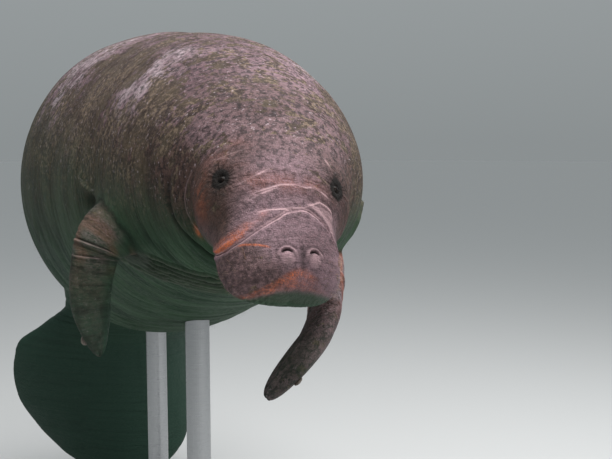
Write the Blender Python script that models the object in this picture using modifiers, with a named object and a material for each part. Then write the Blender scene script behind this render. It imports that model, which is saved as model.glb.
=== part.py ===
"""A life-size display model of a manatee, hung in a swimming pose on a plain stand.

All lengths are metres and +Z is up. The origin is the centre of the underside of
the stand's base. The animal faces -Y and its left side is towards +X.

The body is a loft. Its sections are strung along a curved spine, and s is the
distance along that spine from the tip of the muzzle to the end of the tail. A
section is a superellipse, and the angle in it runs from the animal's left (0)
over the back (90) and the right side (180) to the belly (270).
"""
import math

import bmesh
import bpy
import numpy as np
from mathutils import Matrix, Vector

# Gap between solids that touch
GAP = 0.0003

# Body
LENGTH = 2.80                        # along the spine
SNOUT = (-0.078, -1.085, 1.080)      # where the spine starts
LEAN = math.radians(6.0)             # the whole animal leans nose up about a level line
LEAN_TURN = math.radians(-24.0)      # direction of that line from +X
BLUNT = 0.075                        # length over which the muzzle rounds off
BLUNT_POWER = 2.6
PADDLE_WIDEST = 2.40                 # behind this the paddle rounds off
PADDLE_POWER = 2.2
CURL_FROM, CURL_FULL = 2.02, 2.25    # the paddle's left half curls back over these
CURL_RADIUS = 0.28
CURL_RIGHT = 0.15                    # share of that curl on the right half

# Spine: s, then degrees of heading, slope, swing to the side and roll
POSE = (
    (0.00, -1, 54, 0, 9),
    (0.10, -9, 54, 0, 11),
    (0.20, -18, 37, 0, 5),
    (0.32, -7, 13, 0, 2),
    (0.50, -7, 0, 0, 0),
    (0.80, 2, 4, 0, 0),
    (1.10, 0, 2, 0, 0),
    (1.40, 6, -9, 5, 0),
    (1.65, 1, -26, 2, 0),
    (1.85, -6, -46, 2, -1),
    (2.00, -13, -60, 2, -5),
    (2.15, -13, -71, -4, 0),
    (2.30, -12, -73, -4, -1),
    (2.80, -23, -80, -6, 15),
)

# Sections: s, half width, height to the back, depth to the belly, power
SECTIONS = (
    (0.00, 0.123, 0.075, 0.031, 2.1),
    (0.05, 0.105, 0.077, 0.074, 2.0),
    (0.12, 0.103, 0.082, 0.094, 2.2),
    (0.18, 0.132, 0.104, 0.112, 2.3),
    (0.24, 0.142, 0.121, 0.140, 2.15),
    (0.30, 0.172, 0.151, 0.172, 2.1),
    (0.38, 0.217, 0.194, 0.207, 2.0),
    (0.50, 0.267, 0.274, 0.240, 2.0),
    (0.65, 0.307, 0.330, 0.281, 2.0),
    (0.85, 0.348, 0.363, 0.350, 2.0),
    (1.10, 0.390, 0.398, 0.413, 2.0),
    (1.35, 0.367, 0.380, 0.400, 2.0),
    (1.58, 0.334, 0.313, 0.330, 2.0),
    (1.78, 0.266, 0.230, 0.245, 2.0),
    (1.92, 0.218, 0.165, 0.170, 2.0),
    (2.02, 0.205, 0.122, 0.124, 2.0),
    (2.10, 0.208, 0.092, 0.090, 1.95),
    (2.19, 0.284, 0.066, 0.066, 1.9),
    (2.28, 0.372, 0.050, 0.050, 1.8),
    (2.40, 0.388, 0.038, 0.038, 1.8),
    (2.80, 0.372, 0.020, 0.020, 1.8),
)

# Where the body is parted: front and back end of each length, and its rows
HEAD_END = 0.40
LENGTHS = {
    "neck": (0.40, 0.47, 3),
    "chest": (0.47, 0.92, 11),
    "belly": (0.92, 1.55, 13),
    "tail_stock": (1.55, 2.06, 12),
    "tail_paddle": (2.06, 2.80, 17),
}
AROUND = 48                          # columns of facets round the body

# Head
HEAD_AROUND = 200                    # columns of the fine head before it is thinned out
HEAD_STEP = 0.0035                   # between its rows, and twice that behind the face
HEAD_FINE_END = 0.25
HEAD_CAP_ROWS = 40                   # rows of the rounded front of the muzzle
HEAD_KEEP = 0.145                    # share of the fine head's triangles that stays
EYE_S, EYE_ANGLE = 0.1795, 48.5      # place of the eyes, degrees down from the top of the head
EYE_RADIUS = 0.0115
EYE_DEPTH = 0.0165                   # eyeball's centre below the skin
NOSTRIL_S, NOSTRIL_ANGLE = 0.0403, 14.0
NOSTRIL_RADIUS = 0.0125
MOUTH_END = 0.12

# Main crease over the muzzle: degrees from the top of the head towards the right, s
CREASE = (
    (-112, 0.1160), (-98, 0.0865), (-72, 0.0755), (-50, 0.0830), (-35, 0.1110), (-21, 0.1205), (-10, 0.1255),
    (4, 0.1185), (14, 0.1085), (44, 0.0845), (57, 0.0775), (73, 0.0755), (98, 0.0865), (112, 0.1160),
)

# Flippers: centre, half width, half thickness, direction of the broad side
FLIPPER_RIGHT = (
    (-0.164, -0.516, 1.185, 0.074, 0.050, (0.41, -0.53, -0.74)),
    (-0.263, -0.602, 1.156, 0.065, 0.044, (0.41, -0.53, -0.74)),
    (-0.300, -0.608, 1.107, 0.047, 0.033, (0.94, -0.09, -0.33)),
    (-0.310, -0.608, 1.020, 0.042, 0.024, (0.99, 0.11, -0.12)),
    (-0.298, -0.622, 0.903, 0.028, 0.015, (0.97, 0.22, -0.06)),
)
FLIPPER_LEFT = (
    (0.195, -0.495, 1.135, 0.081, 0.046, (-0.18, 0.36, -0.91)),
    (0.201, -0.604, 1.084, 0.078, 0.042, (0.08, 0.83, -0.56)),
    (0.157, -0.727, 0.998, 0.071, 0.034, (0.20, 0.92, -0.34)),
    (0.108, -0.786, 0.945, 0.067, 0.025, (0.22, 0.97, -0.10)),
    (-0.017, -0.831, 0.839, 0.058, 0.016, (0.11, 0.98, 0.14)),
)
FLIPPER_ROWS, FLIPPER_AROUND = 20, 22
FLIPPER_TIP = 0.78                   # share of the length behind the rounded tip
NAILS = ((0.920, -0.78), (0.950, -0.05), (0.930, 0.68))   # share of the length, share of the half width
NAIL_SIZE = (0.0075, 0.0040, 0.0100)                      # half sizes across, through and along

# Stand
BASE_SIZE = (0.80, 1.20, 0.035)
BASE_BEVEL = 0.006
ROD_RADIUS = 0.030
ROD_PLACES = {"stand_rod_front": (-0.01, -0.34), "stand_rod_rear": (0.0, 0.13)}
ROD_SIDES = 32
ROD_INTO_BODY = 0.12                 # how far a rod would run into the body uncut

# Colours: red, green, blue, roughness
BACK_SKIN = (0.20, 0.155, 0.165, 0.62)
BELLY_SKIN = (0.085, 0.095, 0.075, 0.62)
TAIL_SKIN = (0.050, 0.060, 0.048, 0.66)
FLIPPER_SKIN = (0.105, 0.085, 0.075, 0.62)
EYE_BLACK = (0.012, 0.010, 0.009, 0.08)
STAND_GREY = (0.30, 0.31, 0.32, 0.45)


def smooth_steps(table, column, s):
    """Monotone cubic through one column of a table whose first column is s."""
    x = np.array([row[0] for row in table], float)
    y = np.array([row[column] for row in table], float)
    s = np.clip(s, x[0], x[-1])
    h = np.diff(x)
    slope = np.diff(y) / h
    tangent = np.zeros_like(y)
    tangent[0], tangent[-1] = slope[0], slope[-1]
    for k in range(1, len(x) - 1):
        before, after = slope[k - 1], slope[k]
        if before * after > 0:
            w1, w2 = 2 * h[k] + h[k - 1], h[k] + 2 * h[k - 1]
            tangent[k] = (w1 + w2) / (w1 / before + w2 / after)
    i = np.clip(np.searchsorted(x, s, side="right") - 1, 0, len(x) - 2)
    t = (s - x[i]) / h[i]
    return ((2 * t**3 - 3 * t**2 + 1) * y[i] + (t**3 - 2 * t**2 + t) * h[i] * tangent[i]
            + (3 * t**2 - 2 * t**3) * y[i + 1] + (t**3 - t**2) * h[i] * tangent[i + 1])


def ramp(low, high, value):
    """Smooth step from 0 at low to 1 at high."""
    t = np.clip((value - low) / (high - low), 0.0, 1.0)
    return t * t * (3 - 2 * t)


def bump(distance, width):
    return np.exp(-(distance / width) ** 2)


def directions(s):
    """Unit vectors towards the tail, the animal's left and its back."""
    heading, slope, swing, roll = (np.radians(smooth_steps(POSE, k, s)) for k in (1, 2, 3, 4))
    tail = np.stack([-np.sin(heading) * np.cos(slope), np.cos(heading) * np.cos(slope), np.sin(slope)], -1)
    back = np.stack([np.sin(heading) * np.sin(slope), -np.cos(heading) * np.sin(slope), np.cos(slope)], -1)
    left = np.cross(tail, back)
    c, w = np.cos(swing)[..., None], np.sin(swing)[..., None]
    tail, left = tail * c + left * w, left * c - tail * w
    c, w = np.cos(roll)[..., None], np.sin(roll)[..., None]
    back, left = back * c + left * w, left * c - back * w
    axis = Vector((math.cos(LEAN_TURN), math.sin(LEAN_TURN), 0.0))
    lean = np.array(Matrix.Rotation(-LEAN, 3, axis))
    return tail @ lean.T, left @ lean.T, back @ lean.T


def spine(s):
    """Points of the spine, found by walking along its direction in short steps."""
    walk = np.linspace(0.0, LENGTH, 1401)
    tail = directions(walk)[0]
    step = walk[1] - walk[0]
    path = np.vstack([np.zeros(3), np.cumsum((tail[1:] + tail[:-1]) / 2 * step, axis=0)])
    path += np.array(SNOUT)
    return np.stack([np.interp(s, walk, path[:, k]) for k in range(3)], -1)


def section_sizes(s):
    """Half width, height, depth and power of the sections, closing at both tips."""
    wide, high, deep, power = (smooth_steps(SECTIONS, k, s) for k in (1, 2, 3, 4))
    front = np.clip(1 - s / BLUNT, 0, 1)
    nose = (1 - front**BLUNT_POWER) ** (1 / BLUNT_POWER)
    back = np.clip((s - PADDLE_WIDEST) / (LENGTH - PADDLE_WIDEST), 0, 1)
    paddle = np.sqrt(np.clip(1 - back**PADDLE_POWER, 0, 1))
    thin = np.sqrt(paddle)
    return wide * nose * paddle, high * nose * thin, deep * nose * thin, power


def body_points(s, angle, shift=0.0, grow=0.0):
    """Rows of points on the body, one row per s, moved tailward by shift and outward by grow."""
    s = np.asarray(s, float)
    centre = spine(s)
    tail, left, back = directions(s)
    wide, high, deep, power = section_sizes(s)
    c, q = np.cos(angle), np.sin(angle)
    exponent = (2 / power)[:, None]
    x = np.sign(c) * np.abs(c) ** exponent * (wide[:, None] + grow)
    z = np.sign(q) * np.abs(q) ** exponent * (np.where(q > 0, high[:, None], deep[:, None]) + grow)
    bend = np.interp(s, (CURL_FROM, CURL_FULL), (1e-6, 1 / CURL_RADIUS))[:, None]
    bend = np.where(x > 0, bend, bend * CURL_RIGHT)
    turn = np.abs(x) * bend
    x, z = (np.sign(x) * (np.sin(turn) / bend - z * np.sin(turn)),
            (1 - np.cos(turn)) / bend + z * np.cos(turn))
    moved = centre + shift * tail
    return moved[:, None] + x[..., None] * left[:, None] + z[..., None] * back[:, None]


def angles(count):
    return np.arange(count) / count * 2 * math.pi


def grid_normals(grid):
    """Outward unit normals of a closed grid of rows."""
    around = np.roll(grid, -1, axis=1) - np.roll(grid, 1, axis=1)
    along = np.gradient(grid, axis=0)
    normal = np.cross(along, around)
    normal /= np.linalg.norm(normal, axis=-1, keepdims=True) + 1e-12
    outward = grid - grid.mean(axis=1, keepdims=True)
    side = np.sign((normal * outward).sum(axis=-1).mean())
    return normal * side


def surface_frame(s, degrees):
    """A point of the smooth body, its normal, and unit vectors to the left and tailward on the skin."""
    angle = math.radians(degrees)
    tiny = 0.002
    rows = body_points(np.array([s - tiny, s, s + tiny]), np.array([angle - tiny, angle, angle + tiny]))
    point = rows[1, 1]
    along = rows[2, 1] - rows[0, 1]
    along /= np.linalg.norm(along)
    around = rows[1, 0] - rows[1, 2]
    normal = np.cross(around, along)
    normal /= np.linalg.norm(normal)
    if normal @ (point - spine(np.array([s]))[0]) < 0:
        normal = -normal
    across = np.cross(along, normal)
    return point, normal, across, along


def eye_frames():
    """Right and left eye: point on the skin and its outward direction."""
    return {side: surface_frame(EYE_S, 90 + sign * EYE_ANGLE) for side, sign in (("right", 1), ("left", -1))}


def head_relief(s, angle, points):
    """How far the skin of the head stands out from, or sinks below, the smooth loft."""
    s = s[:, None] * np.ones_like(angle)[None]
    right = (np.degrees(angle)[None] + 90) % 360 - 180
    side = np.abs(right)
    centre, (_, left, back) = spine(s[:, 0]), directions(s[:, 0])
    offset = points - centre[:, None]
    x = (offset * left[:, None]).sum(-1)
    z = (offset * back[:, None]).sum(-1)
    relief = np.zeros(s.shape)

    # eye pits, each with a raised ring of lids round the opening
    for point, normal, across, along in eye_frames().values():
        d = np.linalg.norm(points - point, axis=-1)
        relief += -0.006 * bump(d, 0.024) - 0.004 * bump(d, 0.009) + 0.0055 * bump(d - 0.0135, 0.0042)

    # nostrils: a round plug under an arched slit with a raised rim
    for sign in (1, -1):
        point, normal, across, along = surface_frame(NOSTRIL_S, 90 + sign * NOSTRIL_ANGLE)
        u, v = ((points - point) * across).sum(-1), ((points - point) * along).sum(-1)
        d = np.linalg.norm(points - point, axis=-1)
        arch = ramp(-0.2, 0.5, v / (d + 1e-6))
        relief += -0.0060 * bump(d - NOSTRIL_RADIUS, 0.0030) * arch
        relief += 0.0026 * bump(d - NOSTRIL_RADIUS - 0.0065, 0.0040) * arch + 0.0024 * bump(d, 0.009)
    relief += -0.0025 * bump(x, 0.006) * ramp(0.012, 0.026, s) * ramp(0.070, 0.050, s) * (side < 30)

    # creases that wrap over the muzzle
    crease = smooth_steps(CREASE, 1, right)
    over = ramp(116, 104, side)
    for place, depth, width in ((0.0, 0.0042, 0.0050), (0.032, 0.0022, 0.0045), (0.054, 0.0014, 0.0045)):
        behind = s - crease - place
        swell = bump(behind + 0.011, 0.006) + bump(behind - 0.011, 0.006)
        relief += depth * (0.5 * swell - bump(behind, width)) * over

    # mouth: a groove under the upper lip that runs back along both sides, and a notch in the lip
    line = z + 0.020 + 0.30 * np.abs(x) ** 1.4
    near = ramp(MOUTH_END + 0.012, MOUTH_END - 0.012, s)
    relief += -0.0075 * bump(line, 0.0045) * near
    relief += (0.0030 * bump(line - 0.013, 0.009) + 0.0020 * bump(line + 0.013, 0.009)) * near
    relief += -0.0035 * bump(x, 0.008) * bump(line - 0.012, 0.013) * near

    # chin, and the fold behind the jaw
    relief += 0.010 * bump(s - 0.075, 0.035) * bump(x, 0.055) * (z < 0)
    jaw = 0.318 - 0.035 * ramp(105, 140, side)
    relief += -0.0055 * bump(s - jaw, 0.0075) * ramp(88, 102, side) * ramp(165, 135, side)
    return relief


def mesh_object(name, vertices, faces, colour=None):
    mesh = bpy.data.meshes.new(name)
    mesh.from_pydata([tuple(map(float, v)) for v in vertices], [], faces)
    bm = bmesh.new()
    bm.from_mesh(mesh)
    bmesh.ops.recalc_face_normals(bm, faces=bm.faces)
    bm.to_mesh(mesh)
    bm.free()
    obj = bpy.data.objects.new(name, mesh)
    (PARTS if colour else CUTTERS).objects.link(obj)
    if colour:
        paint(obj, colour)
    else:
        obj.hide_render = True
        obj.display_type = "WIRE"
    return obj


def loft(name, grid, colour=None, tip_front=None, tip_back=None):
    """Close a grid of rows into a solid with a flat cap, or a single tip point, at each end."""
    rows, count = grid.shape[:2]
    vertices = list(grid.reshape(-1, 3))
    faces = []
    for i in range(rows - 1):
        for j in range(count):
            k = (j + 1) % count
            faces.append((i * count + j, i * count + k, (i + 1) * count + k, (i + 1) * count + j))
    for row, tip in ((0, tip_front), (rows - 1, tip_back)):
        ring = [row * count + j for j in range(count)]
        if tip is None:
            faces.append(ring)
        else:
            vertices.append(tip)
            faces += [(ring[j], ring[(j + 1) % count], len(vertices) - 1) for j in range(count)]
    return mesh_object(name, vertices, faces, colour)


def paint(obj, colour):
    """Give the object a Principled material with its own colour and roughness."""
    material = bpy.data.materials.new(obj.name)
    material.use_nodes = True
    shader = material.node_tree.nodes["Principled BSDF"]
    shader.inputs["Base Color"].default_value = (*colour[:3], 1.0)
    shader.inputs["Roughness"].default_value = colour[3]
    shader.inputs["Metallic"].default_value = 0.0
    material.diffuse_color = (*colour[:3], 1.0)
    obj.data.materials.clear()
    obj.data.materials.append(material)


def bake(obj):
    """Apply the object's modifiers and keep only its largest closed surface."""
    graph = bpy.context.evaluated_depsgraph_get()
    mesh = bpy.data.meshes.new_from_object(obj.evaluated_get(graph))
    obj.modifiers.clear()
    obj.data = mesh
    bm = bmesh.new()
    bm.from_mesh(mesh)
    groups, left_over = [], set(bm.verts)
    while left_over:
        group, front = set(), [left_over.pop()]
        while front:
            vert = front.pop()
            group.add(vert)
            for edge in vert.link_edges:
                other = edge.other_vert(vert)
                if other in left_over:
                    left_over.remove(other)
                    front.append(other)
        groups.append(group)
    largest = max(groups, key=len)
    bmesh.ops.delete(bm, geom=[v for v in bm.verts if v not in largest], context="VERTS")
    bm.to_mesh(mesh)
    bm.free()


def boolean(obj, other, operation):
    modifier = obj.modifiers.new(operation.title(), "BOOLEAN")
    modifier.operation = operation
    modifier.solver = "EXACT"
    modifier.object = other
    bake(obj)
    bpy.data.objects.remove(other)


def length_rows(start, end, rows):
    """Rows of a body length. The last length closes evenly towards the paddle's tip."""
    if end < LENGTH:
        return np.linspace(start, end, rows + 1)
    flat = np.arange(start, PADDLE_WIDEST, 0.045)
    turn = np.linspace(0, math.pi / 2, rows - len(flat) + 2)[:-1]
    return np.concatenate([flat, PADDLE_WIDEST + (LENGTH - PADDLE_WIDEST) * np.sin(turn)])


def body_length(name, start, end, rows, colour):
    """One length of the body, set half a gap back from its neighbours at both ends."""
    s = length_rows(start, end, rows)
    angle = angles(AROUND)
    grid = body_points(s, angle)
    grid[0] = body_points(s[:1], angle, shift=GAP / 2)[0]
    tip = None
    if end < LENGTH:
        grid[-1] = body_points(s[-1:], angle, shift=-GAP / 2)[0]
    else:
        tip = spine(np.array([LENGTH]))[0]
    return loft(name, grid, colour, tip_back=tip)


def head(colour):
    """The head: a fine loft with its features pressed in, thinned out and cut off flat at the neck."""
    turn = np.linspace(0.12, math.pi / 2, HEAD_CAP_ROWS)
    cap = BLUNT * (1 - np.cos(turn) ** (2 / BLUNT_POWER))
    fine = np.arange(BLUNT + HEAD_STEP, HEAD_FINE_END, HEAD_STEP)
    s = np.concatenate([cap, fine, np.arange(HEAD_FINE_END, HEAD_END + 0.02, 2 * HEAD_STEP)])
    angle = angles(HEAD_AROUND)
    grid = body_points(s, angle)
    grid += grid_normals(grid) * head_relief(s, angle, grid)[..., None]
    obj = loft("head", grid, colour, tip_front=grid[0].mean(axis=0))
    thin = obj.modifiers.new("Thin out", "DECIMATE")
    thin.ratio = HEAD_KEEP
    bake(obj)
    cut_flat(obj, HEAD_END)
    for side, (point, normal, across, along) in eye_frames().items():
        socket = ball("socket_" + side, point - normal * EYE_DEPTH, EYE_RADIUS + GAP, 24, 12)
        boolean(obj, socket, "DIFFERENCE")
    return obj


def cut_flat(obj, s):
    """Cut away what lies behind the section at s, and close the cut."""
    place = spine(np.array([s]))[0]
    tail = directions(np.array([s]))[0][0]
    bm = bmesh.new()
    bm.from_mesh(obj.data)
    geometry = list(bm.verts) + list(bm.edges) + list(bm.faces)
    bmesh.ops.bisect_plane(bm, geom=geometry, dist=1e-6, plane_co=Vector(place - tail * GAP / 2),
                           plane_no=Vector(tail), clear_outer=True)
    open_edges = [edge for edge in bm.edges if edge.is_boundary]
    bmesh.ops.holes_fill(bm, edges=open_edges, sides=0)
    bmesh.ops.recalc_face_normals(bm, faces=bm.faces)
    bm.to_mesh(obj.data)
    bm.free()


def ball(name, centre, radius, around, rows, colour=None):
    bm = bmesh.new()
    bmesh.ops.create_uvsphere(bm, u_segments=around, v_segments=rows, radius=radius)
    mesh = bpy.data.meshes.new(name)
    bm.to_mesh(mesh)
    bm.free()
    obj = bpy.data.objects.new(name, mesh)
    obj.location = Vector(centre)
    (PARTS if colour else CUTTERS).objects.link(obj)
    if colour:
        paint(obj, colour)
        mesh.shade_smooth()
    return obj


def eye(side, frame, colour):
    point, normal, across, along = frame
    return ball("eye_" + side, point - normal * EYE_DEPTH, EYE_RADIUS, 16, 10, colour)


def limb_frames(rows, t):
    """Centres, broad direction, thin direction and half sizes of a flipper at shares t of its length."""
    table = [(k / (len(rows) - 1), *row[:5], *row[5]) for k, row in enumerate(rows)]
    centre = np.stack([smooth_steps(table, k, t) for k in (1, 2, 3)], -1)
    wide, thick = smooth_steps(table, 4, t), smooth_steps(table, 5, t)
    broad = np.stack([smooth_steps(table, k, t) for k in (6, 7, 8)], -1)
    along = np.gradient(centre, axis=0)
    along /= np.linalg.norm(along, axis=1, keepdims=True)
    broad -= (broad * along).sum(-1, keepdims=True) * along
    broad /= np.linalg.norm(broad, axis=1, keepdims=True)
    flat = np.cross(along, broad)
    end = np.clip((t - FLIPPER_TIP) / (1 - FLIPPER_TIP), 0, 1)
    close = np.sqrt(1 - end**2.3)
    return centre, broad, flat, along, wide * close, thick * np.sqrt(close)


def flipper(name, rows, outer, colour):
    """A flipper lofted along its own line, cut to meet the body, with its nails fused on.

    Its outer face looks along its thin direction where outer is 1, and against it where outer is -1.
    """
    tip_rows = 8
    even = np.linspace(0, FLIPPER_TIP, FLIPPER_ROWS - tip_rows, endpoint=False)
    tip = FLIPPER_TIP + (1 - FLIPPER_TIP) * np.sin(np.linspace(0, math.pi / 2 * 0.95, tip_rows))
    t = np.concatenate([even, tip])
    centre, broad, flat, along, wide, thick = limb_frames(rows, t)
    angle = angles(FLIPPER_AROUND)
    grid = (centre[:, None] + (wide[:, None] * np.cos(angle))[..., None] * broad[:, None]
            + (thick[:, None] * np.sin(angle))[..., None] * flat[:, None])
    end = limb_frames(rows, np.array([0.99, 1.0]))[0][-1]
    obj = loft(name, grid, colour, tip_back=end)
    cutter = loft("body_cutter", body_points(cutter_rows(), angles(AROUND), grow=1.5 * GAP))
    boolean(obj, cutter, "DIFFERENCE")
    for share, aside in NAILS:
        boolean(obj, nail(rows, share, aside, outer), "UNION")
    return obj


def nail(rows, share, aside, outer):
    """A nail near a flipper's tip: a flattened ball half sunk in the skin of the outer face."""
    near = np.array([share - 0.005, share, share + 0.005])
    centre, broad, flat, along, wide, thick = (values[1] for values in limb_frames(rows, near))
    point = centre + aside * wide * broad + outer * math.sqrt(1 - aside**2) * thick * flat
    obj = ball("nail", (0, 0, 0), 1.0, 8, 6)
    across, through, length = NAIL_SIZE
    axes = Matrix((broad * across, flat * through, along * length)).transposed()
    obj.matrix_world = Matrix.Translation(point) @ axes.to_4x4()
    return obj


def cutter_rows():
    """The rows of the neck, chest and belly, so that a cutter's facets lie parallel to theirs."""
    rows = [length_rows(*LENGTHS[name]) for name in ("neck", "chest", "belly")]
    return np.unique(np.concatenate(rows).round(6))


def stand(colour):
    """A flat base with two rods that end under the chest and the belly."""
    bm = bmesh.new()
    bmesh.ops.create_cube(bm, size=1.0)
    bmesh.ops.scale(bm, vec=Vector(BASE_SIZE), verts=bm.verts)
    bmesh.ops.translate(bm, vec=Vector((0, 0, BASE_SIZE[2] / 2)), verts=bm.verts)
    mesh = bpy.data.meshes.new("stand_base")
    bm.to_mesh(mesh)
    bm.free()
    base = bpy.data.objects.new("stand_base", mesh)
    PARTS.objects.link(base)
    paint(base, colour)
    bevel = base.modifiers.new("Soft edges", "BEVEL")
    bevel.width = BASE_BEVEL
    bevel.segments = 2
    foot = BASE_SIZE[2] + GAP
    for name, (x, y) in ROD_PLACES.items():
        top = belly_height(y) + ROD_INTO_BODY
        bm = bmesh.new()
        place = Matrix.Translation((x, y, (foot + top) / 2))
        bmesh.ops.create_cone(bm, cap_ends=True, segments=ROD_SIDES, radius1=ROD_RADIUS,
                              radius2=ROD_RADIUS, depth=top - foot, matrix=place)
        mesh = bpy.data.meshes.new(name)
        bm.to_mesh(mesh)
        bm.free()
        rod = bpy.data.objects.new(name, mesh)
        PARTS.objects.link(rod)
        paint(rod, colour)
        cutter = loft("body_cutter", body_points(cutter_rows(), angles(AROUND), grow=1.5 * GAP))
        boolean(rod, cutter, "DIFFERENCE")


def belly_height(y):
    """Height of the lowest point of the body above the line y."""
    rows = body_points(np.linspace(0.45, 1.5, 106), np.array([1.5 * math.pi]))[:, 0]
    order = np.argsort(rows[:, 1])
    return float(np.interp(y, rows[order, 1], rows[order, 2]))


def new_collection(name):
    collection = bpy.data.collections.new(name)
    bpy.context.scene.collection.children.link(collection)
    return collection


for old in list(bpy.data.objects):
    bpy.data.objects.remove(old)
PARTS = new_collection("manatee")
CUTTERS = new_collection("cutters")

SKINS = {"neck": BACK_SKIN, "chest": BACK_SKIN, "belly": BELLY_SKIN, "tail_stock": BELLY_SKIN,
         "tail_paddle": TAIL_SKIN}
head(BACK_SKIN)
for side, frame in eye_frames().items():
    eye(side, frame, EYE_BLACK)
for name, (start, end, rows) in LENGTHS.items():
    body_length(name, start, end, rows, SKINS[name])
flipper("flipper_right", FLIPPER_RIGHT, -1, FLIPPER_SKIN)
flipper("flipper_left", FLIPPER_LEFT, 1, FLIPPER_SKIN)
stand(STAND_GREY)
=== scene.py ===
"""The looks of the manatee model: one wrinkled skin, eyes, nails, bristles and hairs, and the stand's finish.

All lengths are metres. The skin is lofted from the same spine and sections as the solids. s is the
distance along the spine from the tip of the muzzle, and the angle round a section runs from the
animal's left (0) over the back (90) and the right side (180) to the belly (270).
"""
import math

import bmesh
import bpy
import numpy as np
from mathutils import Matrix, Vector, kdtree


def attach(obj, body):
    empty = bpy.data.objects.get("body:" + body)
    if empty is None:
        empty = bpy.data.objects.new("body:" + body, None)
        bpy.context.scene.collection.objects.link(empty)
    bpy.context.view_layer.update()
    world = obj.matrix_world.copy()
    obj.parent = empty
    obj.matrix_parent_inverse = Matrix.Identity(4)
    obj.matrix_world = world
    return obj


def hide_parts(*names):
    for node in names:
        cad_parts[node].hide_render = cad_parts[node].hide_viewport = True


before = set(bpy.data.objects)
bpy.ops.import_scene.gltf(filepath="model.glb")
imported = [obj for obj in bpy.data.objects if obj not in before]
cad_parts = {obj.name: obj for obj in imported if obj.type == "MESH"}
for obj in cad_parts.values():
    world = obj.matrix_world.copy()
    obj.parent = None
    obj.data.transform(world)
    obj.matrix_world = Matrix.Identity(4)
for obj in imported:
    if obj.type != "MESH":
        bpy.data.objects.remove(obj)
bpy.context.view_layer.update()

# Camera: the photograph's place and direction
CAMERA_PLACE = (-0.585, -2.293, 1.335)
CAMERA_TURN = (84.0, 0.0, -24.0)
FOCAL_PIXELS, FRAME_WIDTH, SENSOR = 830.0, 612.0, 36.0

# Body, as in the solids
LENGTH = 2.80
SNOUT = (-0.078, -1.085, 1.080)
LEAN = math.radians(6.0)
LEAN_TURN = math.radians(-24.0)
BLUNT = 0.075
BLUNT_POWER = 2.6
PADDLE_WIDEST = 2.40
PADDLE_POWER = 2.2
CURL_FROM, CURL_FULL = 2.02, 2.25
CURL_RADIUS = 0.28
CURL_RIGHT = 0.15

# Spine: s, then degrees of heading, slope, swing to the side and roll
POSE = (
    (0.00, -1, 54, 0, 9),
    (0.10, -9, 54, 0, 11),
    (0.20, -18, 37, 0, 5),
    (0.32, -7, 13, 0, 2),
    (0.50, -7, 0, 0, 0),
    (0.80, 2, 4, 0, 0),
    (1.10, 0, 2, 0, 0),
    (1.40, 6, -9, 5, 0),
    (1.65, 1, -26, 2, 0),
    (1.85, -6, -46, 2, -1),
    (2.00, -13, -60, 2, -5),
    (2.15, -13, -71, -4, 0),
    (2.30, -12, -73, -4, -1),
    (2.80, -23, -80, -6, 15),
)

# Sections: s, half width, height to the back, depth to the belly, power
SECTIONS = (
    (0.00, 0.123, 0.075, 0.031, 2.1),
    (0.05, 0.105, 0.077, 0.074, 2.0),
    (0.12, 0.103, 0.082, 0.094, 2.2),
    (0.18, 0.132, 0.104, 0.112, 2.3),
    (0.24, 0.142, 0.121, 0.140, 2.15),
    (0.30, 0.172, 0.151, 0.172, 2.1),
    (0.38, 0.217, 0.194, 0.207, 2.0),
    (0.50, 0.267, 0.274, 0.240, 2.0),
    (0.65, 0.307, 0.330, 0.281, 2.0),
    (0.85, 0.348, 0.363, 0.350, 2.0),
    (1.10, 0.390, 0.398, 0.413, 2.0),
    (1.35, 0.367, 0.380, 0.400, 2.0),
    (1.58, 0.334, 0.313, 0.330, 2.0),
    (1.78, 0.266, 0.230, 0.245, 2.0),
    (1.92, 0.218, 0.165, 0.170, 2.0),
    (2.02, 0.205, 0.122, 0.124, 2.0),
    (2.10, 0.208, 0.092, 0.090, 1.95),
    (2.19, 0.284, 0.066, 0.066, 1.9),
    (2.28, 0.372, 0.050, 0.050, 1.8),
    (2.40, 0.388, 0.038, 0.038, 1.8),
    (2.80, 0.372, 0.020, 0.020, 1.8),
)

# Features of the head
EYE_S, EYE_ANGLE = 0.1795, 48.5
EYE_RADIUS = 0.0115
EYE_DEPTH = 0.0165
NOSTRIL_S, NOSTRIL_ANGLE = 0.0403, 14.0
NOSTRIL_RADIUS = 0.0125
MOUTH_END = 0.12

# Main crease over the muzzle: degrees from the top of the head towards the right, s
CREASE = (
    (-112, 0.1160), (-98, 0.0865), (-72, 0.0755), (-50, 0.0830), (-35, 0.1110), (-21, 0.1205), (-10, 0.1255),
    (4, 0.1185), (14, 0.1085), (44, 0.0845), (57, 0.0775), (73, 0.0755), (98, 0.0865), (112, 0.1160),
)

# Pale lines across the muzzle: half width, strength, then degrees from the top towards the right, s
LINES = (
    (0.0012, 1.00, ((-53, 0.1265), (-42, 0.1405), (-28, 0.1425), (-20, 0.1365), (-10, 0.1285), (-1, 0.1255),
                    (8, 0.1215), (20, 0.1205), (35, 0.1175))),
    (0.0011, 0.90, ((-40, 0.1535), (-30, 0.1565), (-21, 0.1595), (-12, 0.1565), (-4, 0.1575), (2, 0.1565),
                    (10, 0.1525), (20, 0.1485), (32, 0.1425), (44, 0.1375))),
    (0.0010, 0.75, ((4, 0.1525), (20, 0.1445), (31, 0.1390), (42, 0.1345))),
    (0.0011, 0.80, ((6, 0.1785), (16, 0.1705), (28, 0.1635), (42, 0.1585))),
    (0.0011, 0.14, ((-44, 0.1700), (-22, 0.1780), (2, 0.1800), (14, 0.1780))),
    (0.0013, 0.26, ((17, 0.2145), (28, 0.2125), (38, 0.2125), (53, 0.2125))),
    (0.0013, 0.22, ((19, 0.1985), (35, 0.2035), (49, 0.2165), (61, 0.2255))),
    (0.0034, 1.00, ((-40, 0.2040), (-34, 0.2110), (-28, 0.2200))),
)

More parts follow.
